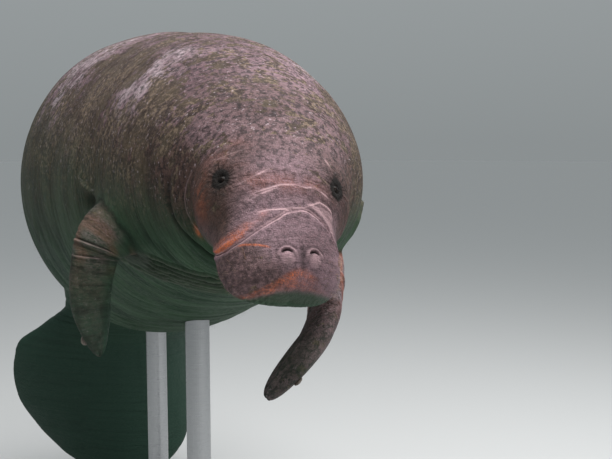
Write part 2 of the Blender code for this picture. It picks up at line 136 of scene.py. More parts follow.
# Bare bands round the back: s, half width, then from and to in degrees down from the top
BARE_BANDS = ((0.97, 0.085, 14, 66), (0.54, 0.055, 22, 60), (1.28, 0.070, 10, 60))

# Bands of thick dark growth round the back, given as the bare bands are
GROWN_BANDS = ((0.74, 0.085, 30, 70), (0.44, 0.040, 40, 66), (1.10, 0.030, 30, 80))

# Flippers: centre, half width, half thickness, direction of the broad side
FLIPPERS = {
    "flipper_right": (
        (-0.164, -0.516, 1.185, 0.074, 0.050, (0.41, -0.53, -0.74)),
        (-0.263, -0.602, 1.156, 0.065, 0.044, (0.41, -0.53, -0.74)),
        (-0.300, -0.608, 1.107, 0.047, 0.033, (0.94, -0.09, -0.33)),
        (-0.310, -0.608, 1.020, 0.042, 0.024, (0.99, 0.11, -0.12)),
        (-0.298, -0.622, 0.903, 0.028, 0.015, (0.97, 0.22, -0.06)),
    ),
    "flipper_left": (
        (0.195, -0.495, 1.135, 0.081, 0.046, (-0.18, 0.36, -0.91)),
        (0.201, -0.604, 1.084, 0.078, 0.042, (0.08, 0.83, -0.56)),
        (0.157, -0.727, 0.998, 0.071, 0.034, (0.20, 0.92, -0.34)),
        (0.108, -0.786, 0.945, 0.067, 0.025, (0.22, 0.97, -0.10)),
        (-0.017, -0.831, 0.839, 0.058, 0.016, (0.11, 0.98, 0.14)),
    ),
}
OUTER = {"flipper_right": -1, "flipper_left": 1}    # which way each flipper's outer face looks
# painted shade towards each flipper's tip (where it begins and is full), painted shade on its inner face, its brown,
# its bare skin (on the left flipper also painted light on its upper part) and its rust (on the left flipper also a
# painted highlight along its middle)
PAINTED_SHADE_FROM = {"flipper_right": (0.40, 0.90), "flipper_left": (0.62, 0.92)}
INNER_SHADE = {"flipper_right": 0.42, "flipper_left": 0.05}
LIMB_BROWN = {"flipper_right": 0.75, "flipper_left": 0.30}
LIMB_BARE_AND_PAINTED_LIGHT = {"flipper_right": 0.15, "flipper_left": 0.80}
LIMB_RUST_AND_PAINTED_HIGHLIGHT = {"flipper_right": 0.30, "flipper_left": 0.48}
FLIPPER_TIP = 0.78
NAILS = ((0.920, -0.78), (0.950, -0.05), (0.930, 0.68))
NAIL_SIZE = (0.0080, 0.0036, 0.0105)

# Colours of the skin
MAUVE_DARK, MAUVE_LIGHT = (0.165, 0.098, 0.112), (0.285, 0.182, 0.210)
BROWN_HIDE = (0.120, 0.068, 0.056)
GROWTH_BROWN, GROWTH_OLIVE, GROWTH_TAN = (0.034, 0.020, 0.015), (0.066, 0.047, 0.029), (0.20, 0.145, 0.098)
BARE_SKIN = (0.50, 0.40, 0.43)
PALE_LINE = (0.70, 0.46, 0.48)
GREEN_DARK, GREEN_LIGHT = (0.016, 0.042, 0.022), (0.048, 0.096, 0.052)
DEEP_GREEN = (0.018, 0.048, 0.032)

# Fineness of the skin
COARSER = 1.0
SKIN_AROUND = int(576 / COARSER)
ROW_STEPS = ((0.0, 0.0014), (0.07, 0.0013), (0.08, 0.0009), (0.18, 0.0009), (0.20, 0.0014), (0.45, 0.0030), (0.70, 0.0044),
             (2.8, 0.0042))
LIMB_ROWS, LIMB_AROUND = int(300 / COARSER), int(160 / COARSER)

# Stage
FLOOR_RADIUS = 60.0
FLOOR_COLOUR = (0.60, 0.60, 0.60)    # this share of the sky's light matches the floor's edge to the horizon
BACKDROP_COLOUR = (0.86, 0.93, 0.95)
HORIZON = 0.30                       # brightness at the horizon, twice that overhead

# Junction of body and flippers
FILLET_REACH = 0.045
FILLET_STEPS = 60


def smooth_steps(table, column, s):
    """Monotone cubic through one column of a table whose first column is s."""
    x = np.array([row[0] for row in table], float)
    y = np.array([row[column] for row in table], float)
    s = np.clip(s, x[0], x[-1])
    h = np.diff(x)
    slope = np.diff(y) / h
    tangent = np.zeros_like(y)
    tangent[0], tangent[-1] = slope[0], slope[-1]
    for k in range(1, len(x) - 1):
        before, after = slope[k - 1], slope[k]
        if before * after > 0:
            w1, w2 = 2 * h[k] + h[k - 1], h[k] + 2 * h[k - 1]
            tangent[k] = (w1 + w2) / (w1 / before + w2 / after)
    i = np.clip(np.searchsorted(x, s, side="right") - 1, 0, len(x) - 2)
    t = (s - x[i]) / h[i]
    return ((2 * t**3 - 3 * t**2 + 1) * y[i] + (t**3 - 2 * t**2 + t) * h[i] * tangent[i]
            + (3 * t**2 - 2 * t**3) * y[i + 1] + (t**3 - t**2) * h[i] * tangent[i + 1])


def ramp(low, high, value):
    """Smooth step from 0 at low to 1 at high."""
    t = np.clip((value - low) / (high - low), 0.0, 1.0)
    return t * t * (3 - 2 * t)


def bump(distance, width):
    return np.exp(-(distance / width) ** 2)


def directions(s):
    """Unit vectors towards the tail, the animal's left and its back."""
    heading, slope, swing, roll = (np.radians(smooth_steps(POSE, k, s)) for k in (1, 2, 3, 4))
    tail = np.stack([-np.sin(heading) * np.cos(slope), np.cos(heading) * np.cos(slope), np.sin(slope)], -1)
    back = np.stack([np.sin(heading) * np.sin(slope), -np.cos(heading) * np.sin(slope), np.cos(slope)], -1)
    left = np.cross(tail, back)
    c, w = np.cos(swing)[..., None], np.sin(swing)[..., None]
    tail, left = tail * c + left * w, left * c - tail * w
    c, w = np.cos(roll)[..., None], np.sin(roll)[..., None]
    back, left = back * c + left * w, left * c - back * w
    axis = Vector((math.cos(LEAN_TURN), math.sin(LEAN_TURN), 0.0))
    lean = np.array(Matrix.Rotation(-LEAN, 3, axis))
    return tail @ lean.T, left @ lean.T, back @ lean.T


def spine(s):
    """Points of the spine, found by walking along its direction in short steps."""
    walk = np.linspace(0.0, LENGTH, 1401)
    tail = directions(walk)[0]
    step = walk[1] - walk[0]
    path = np.vstack([np.zeros(3), np.cumsum((tail[1:] + tail[:-1]) / 2 * step, axis=0)])
    path += np.array(SNOUT)
    return np.stack([np.interp(s, walk, path[:, k]) for k in range(3)], -1)


def section_sizes(s):
    """Half width, height, depth and power of the sections, closing at both tips."""
    wide, high, deep, power = (smooth_steps(SECTIONS, k, s) for k in (1, 2, 3, 4))
    front = np.clip(1 - s / BLUNT, 0, 1)
    nose = (1 - front**BLUNT_POWER) ** (1 / BLUNT_POWER)
    back = np.clip((s - PADDLE_WIDEST) / (LENGTH - PADDLE_WIDEST), 0, 1)
    paddle = np.sqrt(np.clip(1 - back**PADDLE_POWER, 0, 1))
    thin = np.sqrt(paddle)
    return wide * nose * paddle, high * nose * thin, deep * nose * thin, power


def body_grid(s, angle):
    """Rows of points on the smooth body, and where each is across and above the spine, uncurled."""
    centre = spine(s)
    tail, left, back = directions(s)
    wide, high, deep, power = section_sizes(s)
    c, q = np.cos(angle), np.sin(angle)
    exponent = (2 / power)[:, None]
    x = np.sign(c) * np.abs(c) ** exponent * wide[:, None]
    z = np.sign(q) * np.abs(q) ** exponent * np.where(q > 0, high[:, None], deep[:, None])
    bend = np.interp(s, (CURL_FROM, CURL_FULL), (1e-6, 1 / CURL_RADIUS))[:, None]
    bend = np.where(x > 0, bend, bend * CURL_RIGHT)
    turn = np.abs(x) * bend
    bent_x = np.sign(x) * (np.sin(turn) / bend - z * np.sin(turn))
    bent_z = (1 - np.cos(turn)) / bend + z * np.cos(turn)
    points = centre[:, None] + bent_x[..., None] * left[:, None] + bent_z[..., None] * back[:, None]
    return points, x, z


def grid_normals(grid):
    """Outward unit normals of a closed grid of rows."""
    around = np.roll(grid, -1, axis=1) - np.roll(grid, 1, axis=1)
    along = np.gradient(grid, axis=0)
    normal = np.cross(along, around)
    normal /= np.linalg.norm(normal, axis=-1, keepdims=True) + 1e-12
    outward = grid - grid.mean(axis=1, keepdims=True)
    return normal * np.sign((normal * outward).sum(axis=-1).mean())


def surface_frame(s, degrees):
    """A point of the smooth body, its normal, and unit vectors to the left and tailward on the skin."""
    angle = math.radians(degrees)
    tiny = 0.002
    rows = body_grid(np.array([s - tiny, s, s + tiny]), np.array([angle - tiny, angle, angle + tiny]))[0]
    point = rows[1, 1]
    along = rows[2, 1] - rows[0, 1]
    along /= np.linalg.norm(along)
    around = rows[1, 0] - rows[1, 2]
    normal = np.cross(around, along)
    normal /= np.linalg.norm(normal)
    if normal @ (point - spine(np.array([s]))[0]) < 0:
        normal = -normal
    return point, normal, np.cross(along, normal), along


def lattice(i, j, k, seed):
    """Repeatable random numbers from 0 to 1 at whole-number places."""
    n = (i * 73856093) ^ (j * 19349663) ^ (k * 83492791) ^ (seed * 2654435761)
    n = (n & 0xFFFFFFFF) * 1103515245 + 12345
    n = ((n & 0xFFFFFFFF) ^ ((n & 0xFFFFFFFF) >> 15)) * 2246822519
    return ((n >> 8) & 0xFFFFFF) / float(0xFFFFFF)


def noise(x, y, z, seed=1):
    """Smooth random field from 0 to 1 that changes over about one unit."""
    cells = [np.floor(v).astype(np.int64) for v in (x, y, z)]
    parts = [v - c for v, c in zip((x, y, z), cells)]
    fade = [t * t * t * (t * (t * 6 - 15) + 10) for t in parts]
    total = 0.0
    for corner in range(8):
        step = [(corner >> bit) & 1 for bit in range(3)]
        weight = 1.0
        for t, on in zip(fade, step):
            weight = weight * (t if on else 1 - t)
        total = total + weight * lattice(*(c + on for c, on in zip(cells, step)), seed)
    return total


def row_places():
    """Places of the skin's rows: close together on the head and where both ends round off."""
    s = LENGTH * (1 - np.cos(np.linspace(0, math.pi, 12001))) / 2
    wide = section_sizes(s)[0]
    step = np.interp(s, *zip(*ROW_STEPS)) * COARSER
    travel = np.hypot(np.diff(s), np.diff(wide)) / (step[1:] + step[:-1]) * 2
    walked = np.concatenate([[0.0], np.cumsum(travel)])
    return np.interp(np.arange(1, int(walked[-1])), walked, s)


class Marks:
    """Masks from 0 to 1 that the skin's material reads at every point of a grid."""

    # dark is mostly painted shade in hollows, creases and folds, with some dark mottles; belly is painted shade under
    # the body in a green-grey that also stands for algae; deep is darker painted shade on the paddle, low on the belly,
    # under the lip and at the flippers' tips
    names = ("orange", "pale", "dark", "belly", "growth", "bare", "brown", "deep")

    def __init__(self, shape):
        for name in self.names:
            setattr(self, name, np.zeros(shape))

    def colours(self):
        return np.stack([np.clip(getattr(self, name), 0, 1) for name in self.names], -1)


def eye_relief(points, marks):
    """Eye pits: a ring of lids round the opening, creases round it, and small wrinkles that radiate."""
    relief = np.zeros(points.shape[:2])
    for sign in (1, -1):
        point, normal, across, along = surface_frame(EYE_S, 90 + sign * EYE_ANGLE)
        u = ((points - point) * across).sum(-1)
        v = ((points - point) * along).sum(-1)
        reach = np.linalg.norm(points - point, axis=-1)
        d = np.sqrt(u**2 + (0.82 * v) ** 2 + np.clip(reach**2 - u**2 - v**2, 0, None))
        turn = np.arctan2(v, u)
        blur = d + 0.0050 * (noise(u * 130, v * 130, reach * 40, 12) - 0.5)
        ripple = np.sin(turn * 17 + 2.2 * np.sin(turn * 3 + sign)) + 0.6 * np.sin(turn * 29 + 1.3)
        relief += -0.0068 * bump(reach, 0.024) - 0.0042 * bump(d, 0.0064)
        relief += 0.0013 * bump(d - 0.0115, 0.0050) - 0.0004 * bump(d - 0.0190, 0.0026)
        relief += 0.0005 * ripple * bump(d - 0.023, 0.010)
        # painted shade: dark in the pit and fading out round it
        marks.dark += 0.98 * ramp(0.0230, 0.0095, blur) + 0.42 * bump(reach, 0.025) + 0.34 * bump(reach, 0.052)
        marks.brown += 0.70 * bump(reach, 0.060)
    return relief


def nostril_relief(points, marks):
    """Nostrils: a round plug under an arched slit, with a raised rim above; painted shade in the slit and round it, and
    a painted highlight on the rim and the plug.
    """
    relief = np.zeros(points.shape[:2])
    for sign in (1, -1):
        point, normal, across, along = surface_frame(NOSTRIL_S, 90 + sign * NOSTRIL_ANGLE)
        u = ((points - point) * across).sum(-1)
        v = ((points - point) * along).sum(-1)
        d = np.linalg.norm(points - point, axis=-1)
        arch = ramp(-0.35, 0.45, v / (d + 1e-6))
        crown = ramp(0.35, 0.95, v / (d + 1e-6))
        slit = bump(d - 0.88 * NOSTRIL_RADIUS, 0.0022) * crown
        outer = bump(d - 1.55 * NOSTRIL_RADIUS, 0.0026) * arch
        low = np.hypot(u, v + 0.0035)
        rim = bump(d - 1.20 * NOSTRIL_RADIUS, 0.0030) * arch
        relief += -0.0062 * slit - 0.0014 * outer + 0.0013 * rim + 0.0026 * bump(d, 0.0095)
        # painted shade in the slit and the groove outside the rim, and a painted highlight on the rim and the plug
        marks.dark += 0.95 * slit + 0.40 * outer + 0.20 * bump(low - 0.0140, 0.0024)
        marks.pale += 0.30 * rim + 0.28 * ramp(0.0150, 0.0070, low)
    return relief


def muzzle_relief(s, side, right, x, z, marks):
    """Creases that wrap over the muzzle, the groove between the nostrils, the mouth and the chin."""
    relief = -0.0026 * bump(x, 0.0055) * ramp(0.010, 0.026, s) * ramp(0.072, 0.050, s) * (side < 30)
    # painted shade in the groove between the nostrils
    marks.dark += 0.55 * bump(x - 0.002, 0.0055) * ramp(0.012, 0.026, s) * ramp(0.068, 0.050, s) * (side < 30)

    wander = 0.0024 * (noise(x * 22, z * 22, s * 8, 3) - 0.5)
    crease = smooth_steps(CREASE, 1, right) + wander
    over = ramp(116, 104, side)
    behind = s - crease
    swell = bump(behind + 0.009, 0.0055) + bump(behind - 0.009, 0.0055)
    relief += (0.0016 * swell - 0.0026 * bump(behind, 0.0038)) * over
    # the pale double line along the main crease, then the separate lines above it, each on a low fold
    twin = bump(behind + 0.0022, 0.0011) + 0.85 * bump(behind - 0.0022, 0.0010)
    broken = 0.45 + 0.55 * ramp(0.30, 0.62, noise(x * 70, z * 70, s * 30, 9))
    relief += 0.0004 * twin * over
    marks.pale += 0.90 * twin * over * broken
    # painted shade in the main crease, towards the right side
    marks.dark += 0.34 * bump(behind, 0.0012) * over * ramp(20, 60, right)
    patchy = 0.30 + 0.70 * ramp(0.32, 0.62, noise(x * 55, z * 55, s * 20, 4))
    for width, strength, table in LINES:
        ends = ramp(table[0][0], table[0][0] + 8, right) * ramp(table[-1][0], table[-1][0] - 8, right)
        behind = s - smooth_steps(table, 1, right) - 0.5 * wander
        stroke = bump(behind, width) * ends
        relief += (0.0005 * stroke - 0.0009 * bump(behind - 0.0040, 0.0028) * ends) * strength
        relief += 0.0010 * bump(behind + 0.006, 0.006) * ends * strength
        marks.pale += strength * stroke * patchy
    plate = ramp(-10, -20, right) * ramp(-56, -44, right) * ramp(0.004, 0.010, s - crease) * ramp(0.139, 0.133, s)
    marks.pale += 0.42 * plate

    # mouth: a groove under the upper lip that runs back along both sides, and a notch in the lip, with painted shade in
    # the groove
    line = z + 0.020 + 0.30 * np.abs(x) ** 1.4
    near = ramp(MOUTH_END + 0.012, MOUTH_END - 0.012, s)
    relief += -0.0085 * bump(line, 0.0036) * near
    relief += (0.0032 * bump(line - 0.012, 0.009) + 0.0022 * bump(line + 0.012, 0.008)) * near
    relief += -0.0035 * bump(x, 0.007) * bump(line - 0.012, 0.013) * near
    # painted shade in the mouth's groove
    marks.dark += 0.9 * bump(line, 0.0042) * near

    # upright furrows on the lip pads, and the chin
    furrow = np.sin(x * 620 + 5 * noise(x * 40, z * 40, s * 40, 6))
    relief += 0.0003 * furrow * bump(line - 0.020, 0.014) * near * ramp(0.01, 0.03, np.abs(x))
    relief += 0.010 * bump(s - 0.075, 0.035) * bump(x, 0.055) * (z < 0)
    return relief


def fold_relief(s, side, x, z, marks):
    """The fold behind the jaw, the deep folds of the throat, and the folds before the flippers, with painted shade in
    the grooves and in a hollow by the flipper.
    """
    jaw = 0.318 - 0.035 * ramp(105, 140, side)
    over = ramp(84, 102, side) * ramp(168, 140, side)
    relief = (-0.0065 * bump(s - jaw, 0.0065) + 0.0035 * bump(s - jaw + 0.017, 0.010)) * over
    # painted shade in the fold behind the jaw
    marks.dark += 0.55 * bump(s - jaw, 0.008) * over
    jaw_line = jaw - 0.045 - 0.02 * ramp(100, 60, side)
    over = ramp(70, 90, side) * ramp(150, 120, side)
    relief += -0.0028 * bump(s - jaw_line, 0.0055) * over
    marks.pale += 0.35 * bump(s - jaw_line + 0.006, 0.0022) * over

    throat = 0.405 + 5.6e-5 * (180 - side) ** 2
    under = ramp(108, 126, side)
    for k, depth in enumerate((0.0040, 0.0075, 0.0095, 0.0090, 0.0060, 0.0034)):
        wave = 0.010 * (noise(x * 5, z * 5, s * 3, 20 + k) - 0.5)
        behind = s - throat - 0.024 * k + 0.066 - wave
        fade = under * (0.60 + 0.40 * ramp(180, 158, side))
        relief += depth * (0.60 * bump(behind - 0.012, 0.0085) - bump(behind, 0.0056)) * fade
        # painted shade in each fold's groove
        marks.dark += 0.78 * bump(behind, 0.0066) * fade * depth / 0.0095
        marks.pale += 0.10 * bump(behind - 0.013, 0.006) * fade

    armpit = np.interp(side, (89.5, 94, 99, 110, 130), (0.68, 0.64, 0.53, 0.50, 0.50))
    over = ramp(84, 90, side) * ramp(136, 126, side)
    relief += 0.0095 * bump(s - armpit, 0.012) * over
    marks.bare += 0.30 * bump(s - armpit, 0.005) * over * ramp(112, 100, side)
    hollow = bump(s - 0.645, 0.030) * bump(side - 98.5, 3.6)
    relief += -0.0150 * hollow
    # painted shadow in the hollow by the flipper
    marks.dark += 0.60 * hollow
    return relief


def wrinkle_relief(s, side, x, z, marks):
    """Soft lumps, then wrinkles that run round the body, closer and deeper under the belly."""
    away = ramp(0.14, 0.40, s)
    relief = 0.0075 * (noise(s * 5, x * 4.5, z * 4.5, 31) - 0.5) * away
    relief += 0.0030 * (noise(s * 13, x * 8, z * 8, 32) - 0.5) * away
    under = ramp(70, 135, side)
    thin_tail = 1 - 0.6 * ramp(2.05, 2.25, s)
    bent = s + 0.016 * (noise(s * 3, x * 6, z * 6, 33) - 0.5)
    for pitch, depth, seed in ((34, 0.0022, 34), (75, 0.0013, 35), (150, 0.0007, 36)):
        field = noise(bent * pitch, x * 4.2 + seed, z * 4.2, seed)
        valley = bump(field - 0.5, 0.075)
        strength = (0.45 + 0.75 * under) * ramp(0.10, 0.30, s) * thin_tail
        relief += -depth * valley * strength
        # painted shade in the wrinkles' valleys
        marks.dark += 0.16 * valley * strength * ramp(0.3, 0.6, noise(s * 4, x * 4, z * 4, seed + 5))
    return relief


def head_texture(s, x, z):
    """Fine cross-hatched wrinkles on the head, which the wider mesh behind can't carry."""
    near = ramp(0.42, 0.26, s)
    a = bump(noise(s * 150, x * 26, z * 26, 41) - 0.5, 0.10)
    b = bump(noise(s * 60 + x * 90, x * 40 - s * 60, z * 70, 42) - 0.5, 0.09)
    return -(0.00055 * a + 0.00045 * b) * near


def paddle_relief(s, x, z):
    """Faint ridges that fan out over the paddle, and a thin, slightly ragged rim."""
    on = ramp(2.12, 2.30, s)
    fan = noise(x / (0.06 + 0.9 * np.clip(s - 2.0, 0, 1)) * 14, s * 2.2, np.sign(z) * 2, 51)
    return 0.0022 * (fan - 0.5) * on + 0.0008 * (noise(x * 40, s * 7, z, 52) - 0.5) * on


def tint_body(s, side, right, x, z, marks):
    """Where growth, bare skin, brown and the painted shade (green below, darker on the paddle) lie, and where the
    growth turns rust-orange.
    """
    soft = 16 * (noise(s * 4, x * 5, z * 5, 61) - 0.5)
    flank = np.interp(s, (0.0, 0.12, 0.30, 0.60, 1.0, 1.5, 1.9, 2.8), (118, 122, 112, 96, 88, 78, 46, 14))
    blend = np.interp(s, (0.40, 1.00), (22, 38))
    # painted shade: green-grey below a line that runs down the flanks towards the tail, the green partly an algae tint
    marks.belly += ramp(flank - blend, flank + blend, side + soft)
    # darker painted shade on the paddle and low on the belly
    marks.deep += ramp(1.90, 2.30, s) + 0.40 * ramp(0.70, 1.05, s) * ramp(150, 115, side)
    marks.growth += np.interp(s, (0.12, 0.20, 0.28, 0.36, 0.50, 0.80, 1.9), (0.04, 0.16, 0.32, 0.42, 0.46, 0.46, 0.52))
    # more growth and brown on the upper flanks, partly painted shade where they turn away from the light above
    marks.growth += 0.20 * bump(side - 74, 24) * ramp(0.24, 0.50, s)
    marks.brown += ramp(54, 84, side + soft) * ramp(0.19, 0.32, s)
    marks.brown += 0.65 * ramp(52, 80, side) * ramp(0.34, 0.20, s) * ramp(0.085, 0.11, s)
    marks.brown += 0.42 * ramp(0.17, 0.23, s) * ramp(0.44, 0.34, s)
    for place, width, near, far in BARE_BANDS:
        drift = 0.05 * (noise(x * 3, z * 3, s * 2, 66) - 0.5)
        marks.bare += bump(s - place - drift, width) * ramp(near - 8, near + 8, side) * ramp(far + 12, far - 8, side)
    marks.growth += -0.22 * marks.bare
    for place, width, near, far in GROWN_BANDS:
        drift = 0.07 * (noise(x * 3, z * 3, s * 2, 69) - 0.5)
        marks.growth += 0.42 * bump(s - place - drift, width) * ramp(near - 10, near + 10, side) * ramp(far + 14, far - 8, side)

    # growth behind the corner of the muzzle, and the line that runs from it to the nostril
    grain = noise(s * 220, x * 120, z * 120, 62)
    blotch = ramp(0.30, 0.62, noise(s * 60, x * 42, z * 42, 63))
    crease = smooth_steps(CREASE, 1, right)
    behind = s - crease
    corner = ramp(0.001, 0.005, behind) * ramp(0.030, 0.020, behind) * bump(right - 80, 19)
    core = bump(behind - 0.007, 0.004) * bump(right - 82, 20)
    marks.orange += (0.46 * corner + 1.40 * core) * (0.18 + 0.86 * blotch) * (0.60 + 0.70 * grain)
    streak = bump(behind - 0.015, 0.009) * ramp(18, 30, right) * ramp(74, 60, right)
    marks.orange += 0.42 * streak * (0.25 + 0.75 * blotch) * (0.4 + 0.8 * grain)
    thread = bump(s - np.interp(right, (29, 39, 52, 62), (0.0562, 0.0632, 0.0685, 0.072)), 0.0016)
    marks.orange += 0.80 * thread * ramp(27, 33, right) * ramp(64, 56, right)

    # band over the lip, brightest along its arched upper edge, and painted shade on the lip below it
    low = 0.032 - np.where(x < 0, 8.5, 4.5) * x**2 + 0.006 * (noise(x * 70, s * 30, x * 9, 13) - 0.5)
    top = 0.062 - 10.5 * x**2
    front = (s < 0.045)
    across = ramp(-0.092, -0.060, x) * (0.34 + 0.66 * ramp(0.036, 0.002, x)) * ramp(0.080, 0.050, x)
    band = ramp(low - 0.003, low + 0.005, z) * ramp(top + 0.003, top - 0.007, z) * across * front
    ridge = bump(z - top + 0.004, 0.0040) * bump(x + 0.004, 0.022) * front
    pits = noise(x * 330, z * 330, s * 120, 67)
    dots = 0.30 + 0.45 * grain + 0.50 * ramp(0.35, 0.70, pits)
    marks.orange += (0.50 * band + 0.66 * ridge) * (0.45 + 0.55 * blotch) * dots
    marks.dark += 0.10 * band * ramp(0.50, 0.30, pits)
    marks.deep += 0.10 * ramp(low + 0.004, low - 0.008, z) * front
    marks.dark += 0.16 * ramp(low + 0.002, low - 0.012, z) * front
    marks.belly += 0.90 * ramp(low + 0.006, low - 0.012, z) * ramp(0.075, 0.045, s)

    # cheek, brow and the single spot below the jaw
    cheek = bump(s - 0.188, 0.030) * bump(right - 84, 15)
    upright = ramp(0.42, 0.62, noise(s * 120, x * 26, z * 26, 68))
    marks.orange += 0.48 * cheek * (0.15 + 0.85 * upright) * (0.4 + 0.8 * grain)
    marks.brown += 0.55 * bump(s - 0.150, 0.045) * bump(right - 66, 24)
    marks.dark += 0.16 * bump(s - 0.150, 0.040) * bump(right - 64, 20) * (0.3 + 0.9 * blotch)
    spot = bump(s - 0.2535, 0.008) * bump(right - 123.5, 5)
    marks.orange += 1.1 * spot * (0.5 + 0.7 * grain)
    brow = ramp(0.17, 0.20, s) * ramp(0.25, 0.225, s) * ramp(14, 26, right) * ramp(72, 58, right)
    marks.orange += 0.08 * brow * (0.2 + 0.8 * blotch)
    lines = bump(s - 0.160, 0.012) * ramp(56, 30, side)
    marks.orange += 0.14 * lines * (0.3 + 0.7 * blotch)

    # dark mottle low on the muzzle's right half
    stain = ramp(0.42, 0.66, noise(s * 260, x * 190, z * 190, 64)) * ramp(0.080, 0.060, s)
    marks.dark += 0.40 * stain * ramp(0.00, -0.05, x) * ramp(0.070, 0.050, z)
    marks.brown += 0.60 * ramp(0.00, -0.05, x) * ramp(0.075, 0.050, z) * ramp(0.085, 0.065, s)


def body_skin():
    """The body as one fine loft with all its relief, and the masks for its material."""
    s = row_places()
    angle = np.arange(SKIN_AROUND) / SKIN_AROUND * 2 * math.pi
    points, x, z = body_grid(s, angle)
    normals = grid_normals(points)
    s_all = s[:, None] * np.ones(SKIN_AROUND)
    right = ((np.degrees(angle)[None] + 90) % 360 - 180) * np.ones((len(s), 1))
    side = np.abs(right)
    marks = Marks(s_all.shape)
    relief = wrinkle_relief(s_all, side, x, z, marks)
    relief += paddle_relief(s_all, x, z)
    relief += fold_relief(s_all, side, x, z, marks)
    head = s < 0.5
    near = Marks((head.sum(), SKIN_AROUND))
    relief[head] += muzzle_relief(s_all[head], side[head], right[head], x[head], z[head], near)
    relief[head] += head_texture(s_all[head], x[head], z[head])
    relief[head] += eye_relief(points[head], near) + nostril_relief(points[head], near)
    for name in Marks.names:
        getattr(marks, name)[head] += getattr(near, name)
    tint_body(s_all, side, right, x, z, marks)
    points = points + normals * relief[..., None]
    place = np.stack([s_all, x, z], -1)
    tips = (points[0].mean(axis=0), points[-1].mean(axis=0))
    return skin_mesh("skin", points, tips, place, marks.colours(), 0.0)


def limb_frames(rows, t):
    """Centres, broad direction, thin direction and half sizes of a flipper at shares t of its length."""
    table = [(k / (len(rows) - 1), *row[:5], *row[5]) for k, row in enumerate(rows)]
    centre = np.stack([smooth_steps(table, k, t) for k in (1, 2, 3)], -1)
    wide, thick = smooth_steps(table, 4, t), smooth_steps(table, 5, t)
    broad = np.stack([smooth_steps(table, k, t) for k in (6, 7, 8)], -1)
    along = np.gradient(centre, axis=0)
    along /= np.linalg.norm(along, axis=1, keepdims=True)
    broad -= (broad * along).sum(-1, keepdims=True) * along
    broad /= np.linalg.norm(broad, axis=1, keepdims=True)
    flat = np.cross(along, broad)
    end = np.clip((t - FLIPPER_TIP) / (1 - FLIPPER_TIP), 0, 1)
    close = np.sqrt(np.clip(1 - end**2.3, 0, 1))
    return centre, broad, flat, along, wide * close, thick * np.sqrt(close)


def flipper_skin(name, rows):
    """A flipper as a fine loft with wrist creases, wrinkles across it and faint finger ridges."""
    even = np.linspace(0, FLIPPER_TIP, int(LIMB_ROWS * 0.7), endpoint=False)
    tip = FLIPPER_TIP + (1 - FLIPPER_TIP) * np.sin(np.linspace(0, math.pi / 2 * 0.985, int(LIMB_ROWS * 0.3)))
    t = np.concatenate([even, tip])
    centre, broad, flat, along, wide, thick = limb_frames(rows, t)
    angle = np.arange(LIMB_AROUND) / LIMB_AROUND * 2 * math.pi
    u = np.cos(angle)[None] * np.ones((len(t), 1))
    w = np.sin(angle)[None] * np.ones((len(t), 1))
    points = (centre[:, None] + (wide[:, None] * u)[..., None] * broad[:, None]
              + (thick[:, None] * w)[..., None] * flat[:, None])
    normals = grid_normals(points)
    t_all = t[:, None] * np.ones_like(u)
    x, z = wide[:, None] * u, thick[:, None] * w
    marks = Marks(u.shape)
    relief = 0.0040 * (noise(t_all * 4, x * 14, z * 14, 71) - 0.5)
    for place, slope, depth in ((0.425, 0.010, 0.0034), (0.500, 0.015, 0.0014)):
        bent = t_all - place + slope * u + 0.008 * noise(x * 26, z * 26, t_all, 72)
        some = 0.60 + 0.40 * ramp(0.35, 0.65, noise(x * 40, z * 40, place * 50, 76))
        relief += depth * (0.6 * bump(bent - 0.012, 0.008) - bump(bent, 0.0055)) * some
        marks.pale += 0.30 * bump(bent - 0.007, 0.0032) * some
        # painted shade in the crease
        marks.dark += 120 * depth * bump(bent + 0.001, 0.0045) * some
    for pitch, depth, seed in ((46, 0.0012, 73), (100, 0.0007, 74)):
        valley = bump(noise(t_all * pitch, x * 9, z * 9, seed) - 0.5, 0.09)
        relief += -depth * valley * ramp(0.85, 0.6, t_all)
        # painted shade in the wrinkles
        marks.dark += 0.15 * valley
    fingers = np.cos(u * 3 * math.pi) * ramp(0.55, 0.85, t_all) * np.abs(w)
    relief += 0.0012 * fingers
    outer = ramp(-0.3, 0.5, OUTER[name] * w)
    # rust over the middle; on the left flipper it is also a painted highlight
    rust_and_highlight = bump(t_all - 0.40, 0.20) * ramp(0.3, 0.7, noise(t_all * 12, x * 22, z * 22, 75))
    marks.orange += LIMB_RUST_AND_PAINTED_HIGHLIGHT[name] * rust_and_highlight * (0.4 + 0.6 * outer)
    marks.brown += LIMB_BROWN[name]
    marks.growth += 0.20
    # bare skin on the upper part; on the left flipper it is also painted light
    marks.bare += LIMB_BARE_AND_PAINTED_LIGHT[name] * ramp(0.70, 0.50, t_all)
    # painted shade, darker and greener towards the tip and on the inner face
    marks.deep += 0.60 * ramp(0.60, 0.95, t_all)
    marks.belly += 0.05 + 0.32 * ramp(*PAINTED_SHADE_FROM[name], t_all) + INNER_SHADE[name] * (1 - outer)
    spots = 0.6 * noise(t_all * 15, x * 50, z * 50, 77) + 0.4 * noise(t_all * 50, x * 120, z * 120, 78)
    marks.dark += 0.34 * ramp(0.46, 0.64, spots) * ramp(0.30, 0.55, t_all) * (0.3 + 0.7 * ramp(0.5, 0.8, LIMB_BROWN[name]))
    # painted shade towards one edge
    marks.belly += INNER_SHADE[name] * ramp(0.20, 0.90, u)
    points = points + normals * relief[..., None]
    place = np.stack([t_all * 0.6 + 4.0, x, z], -1)
    tips = (points[0].mean(axis=0), points[-1].mean(axis=0) + along[-1] * 0.0008)
    return skin_mesh(name + "_skin", points, tips, place, marks.colours(), 1.0)


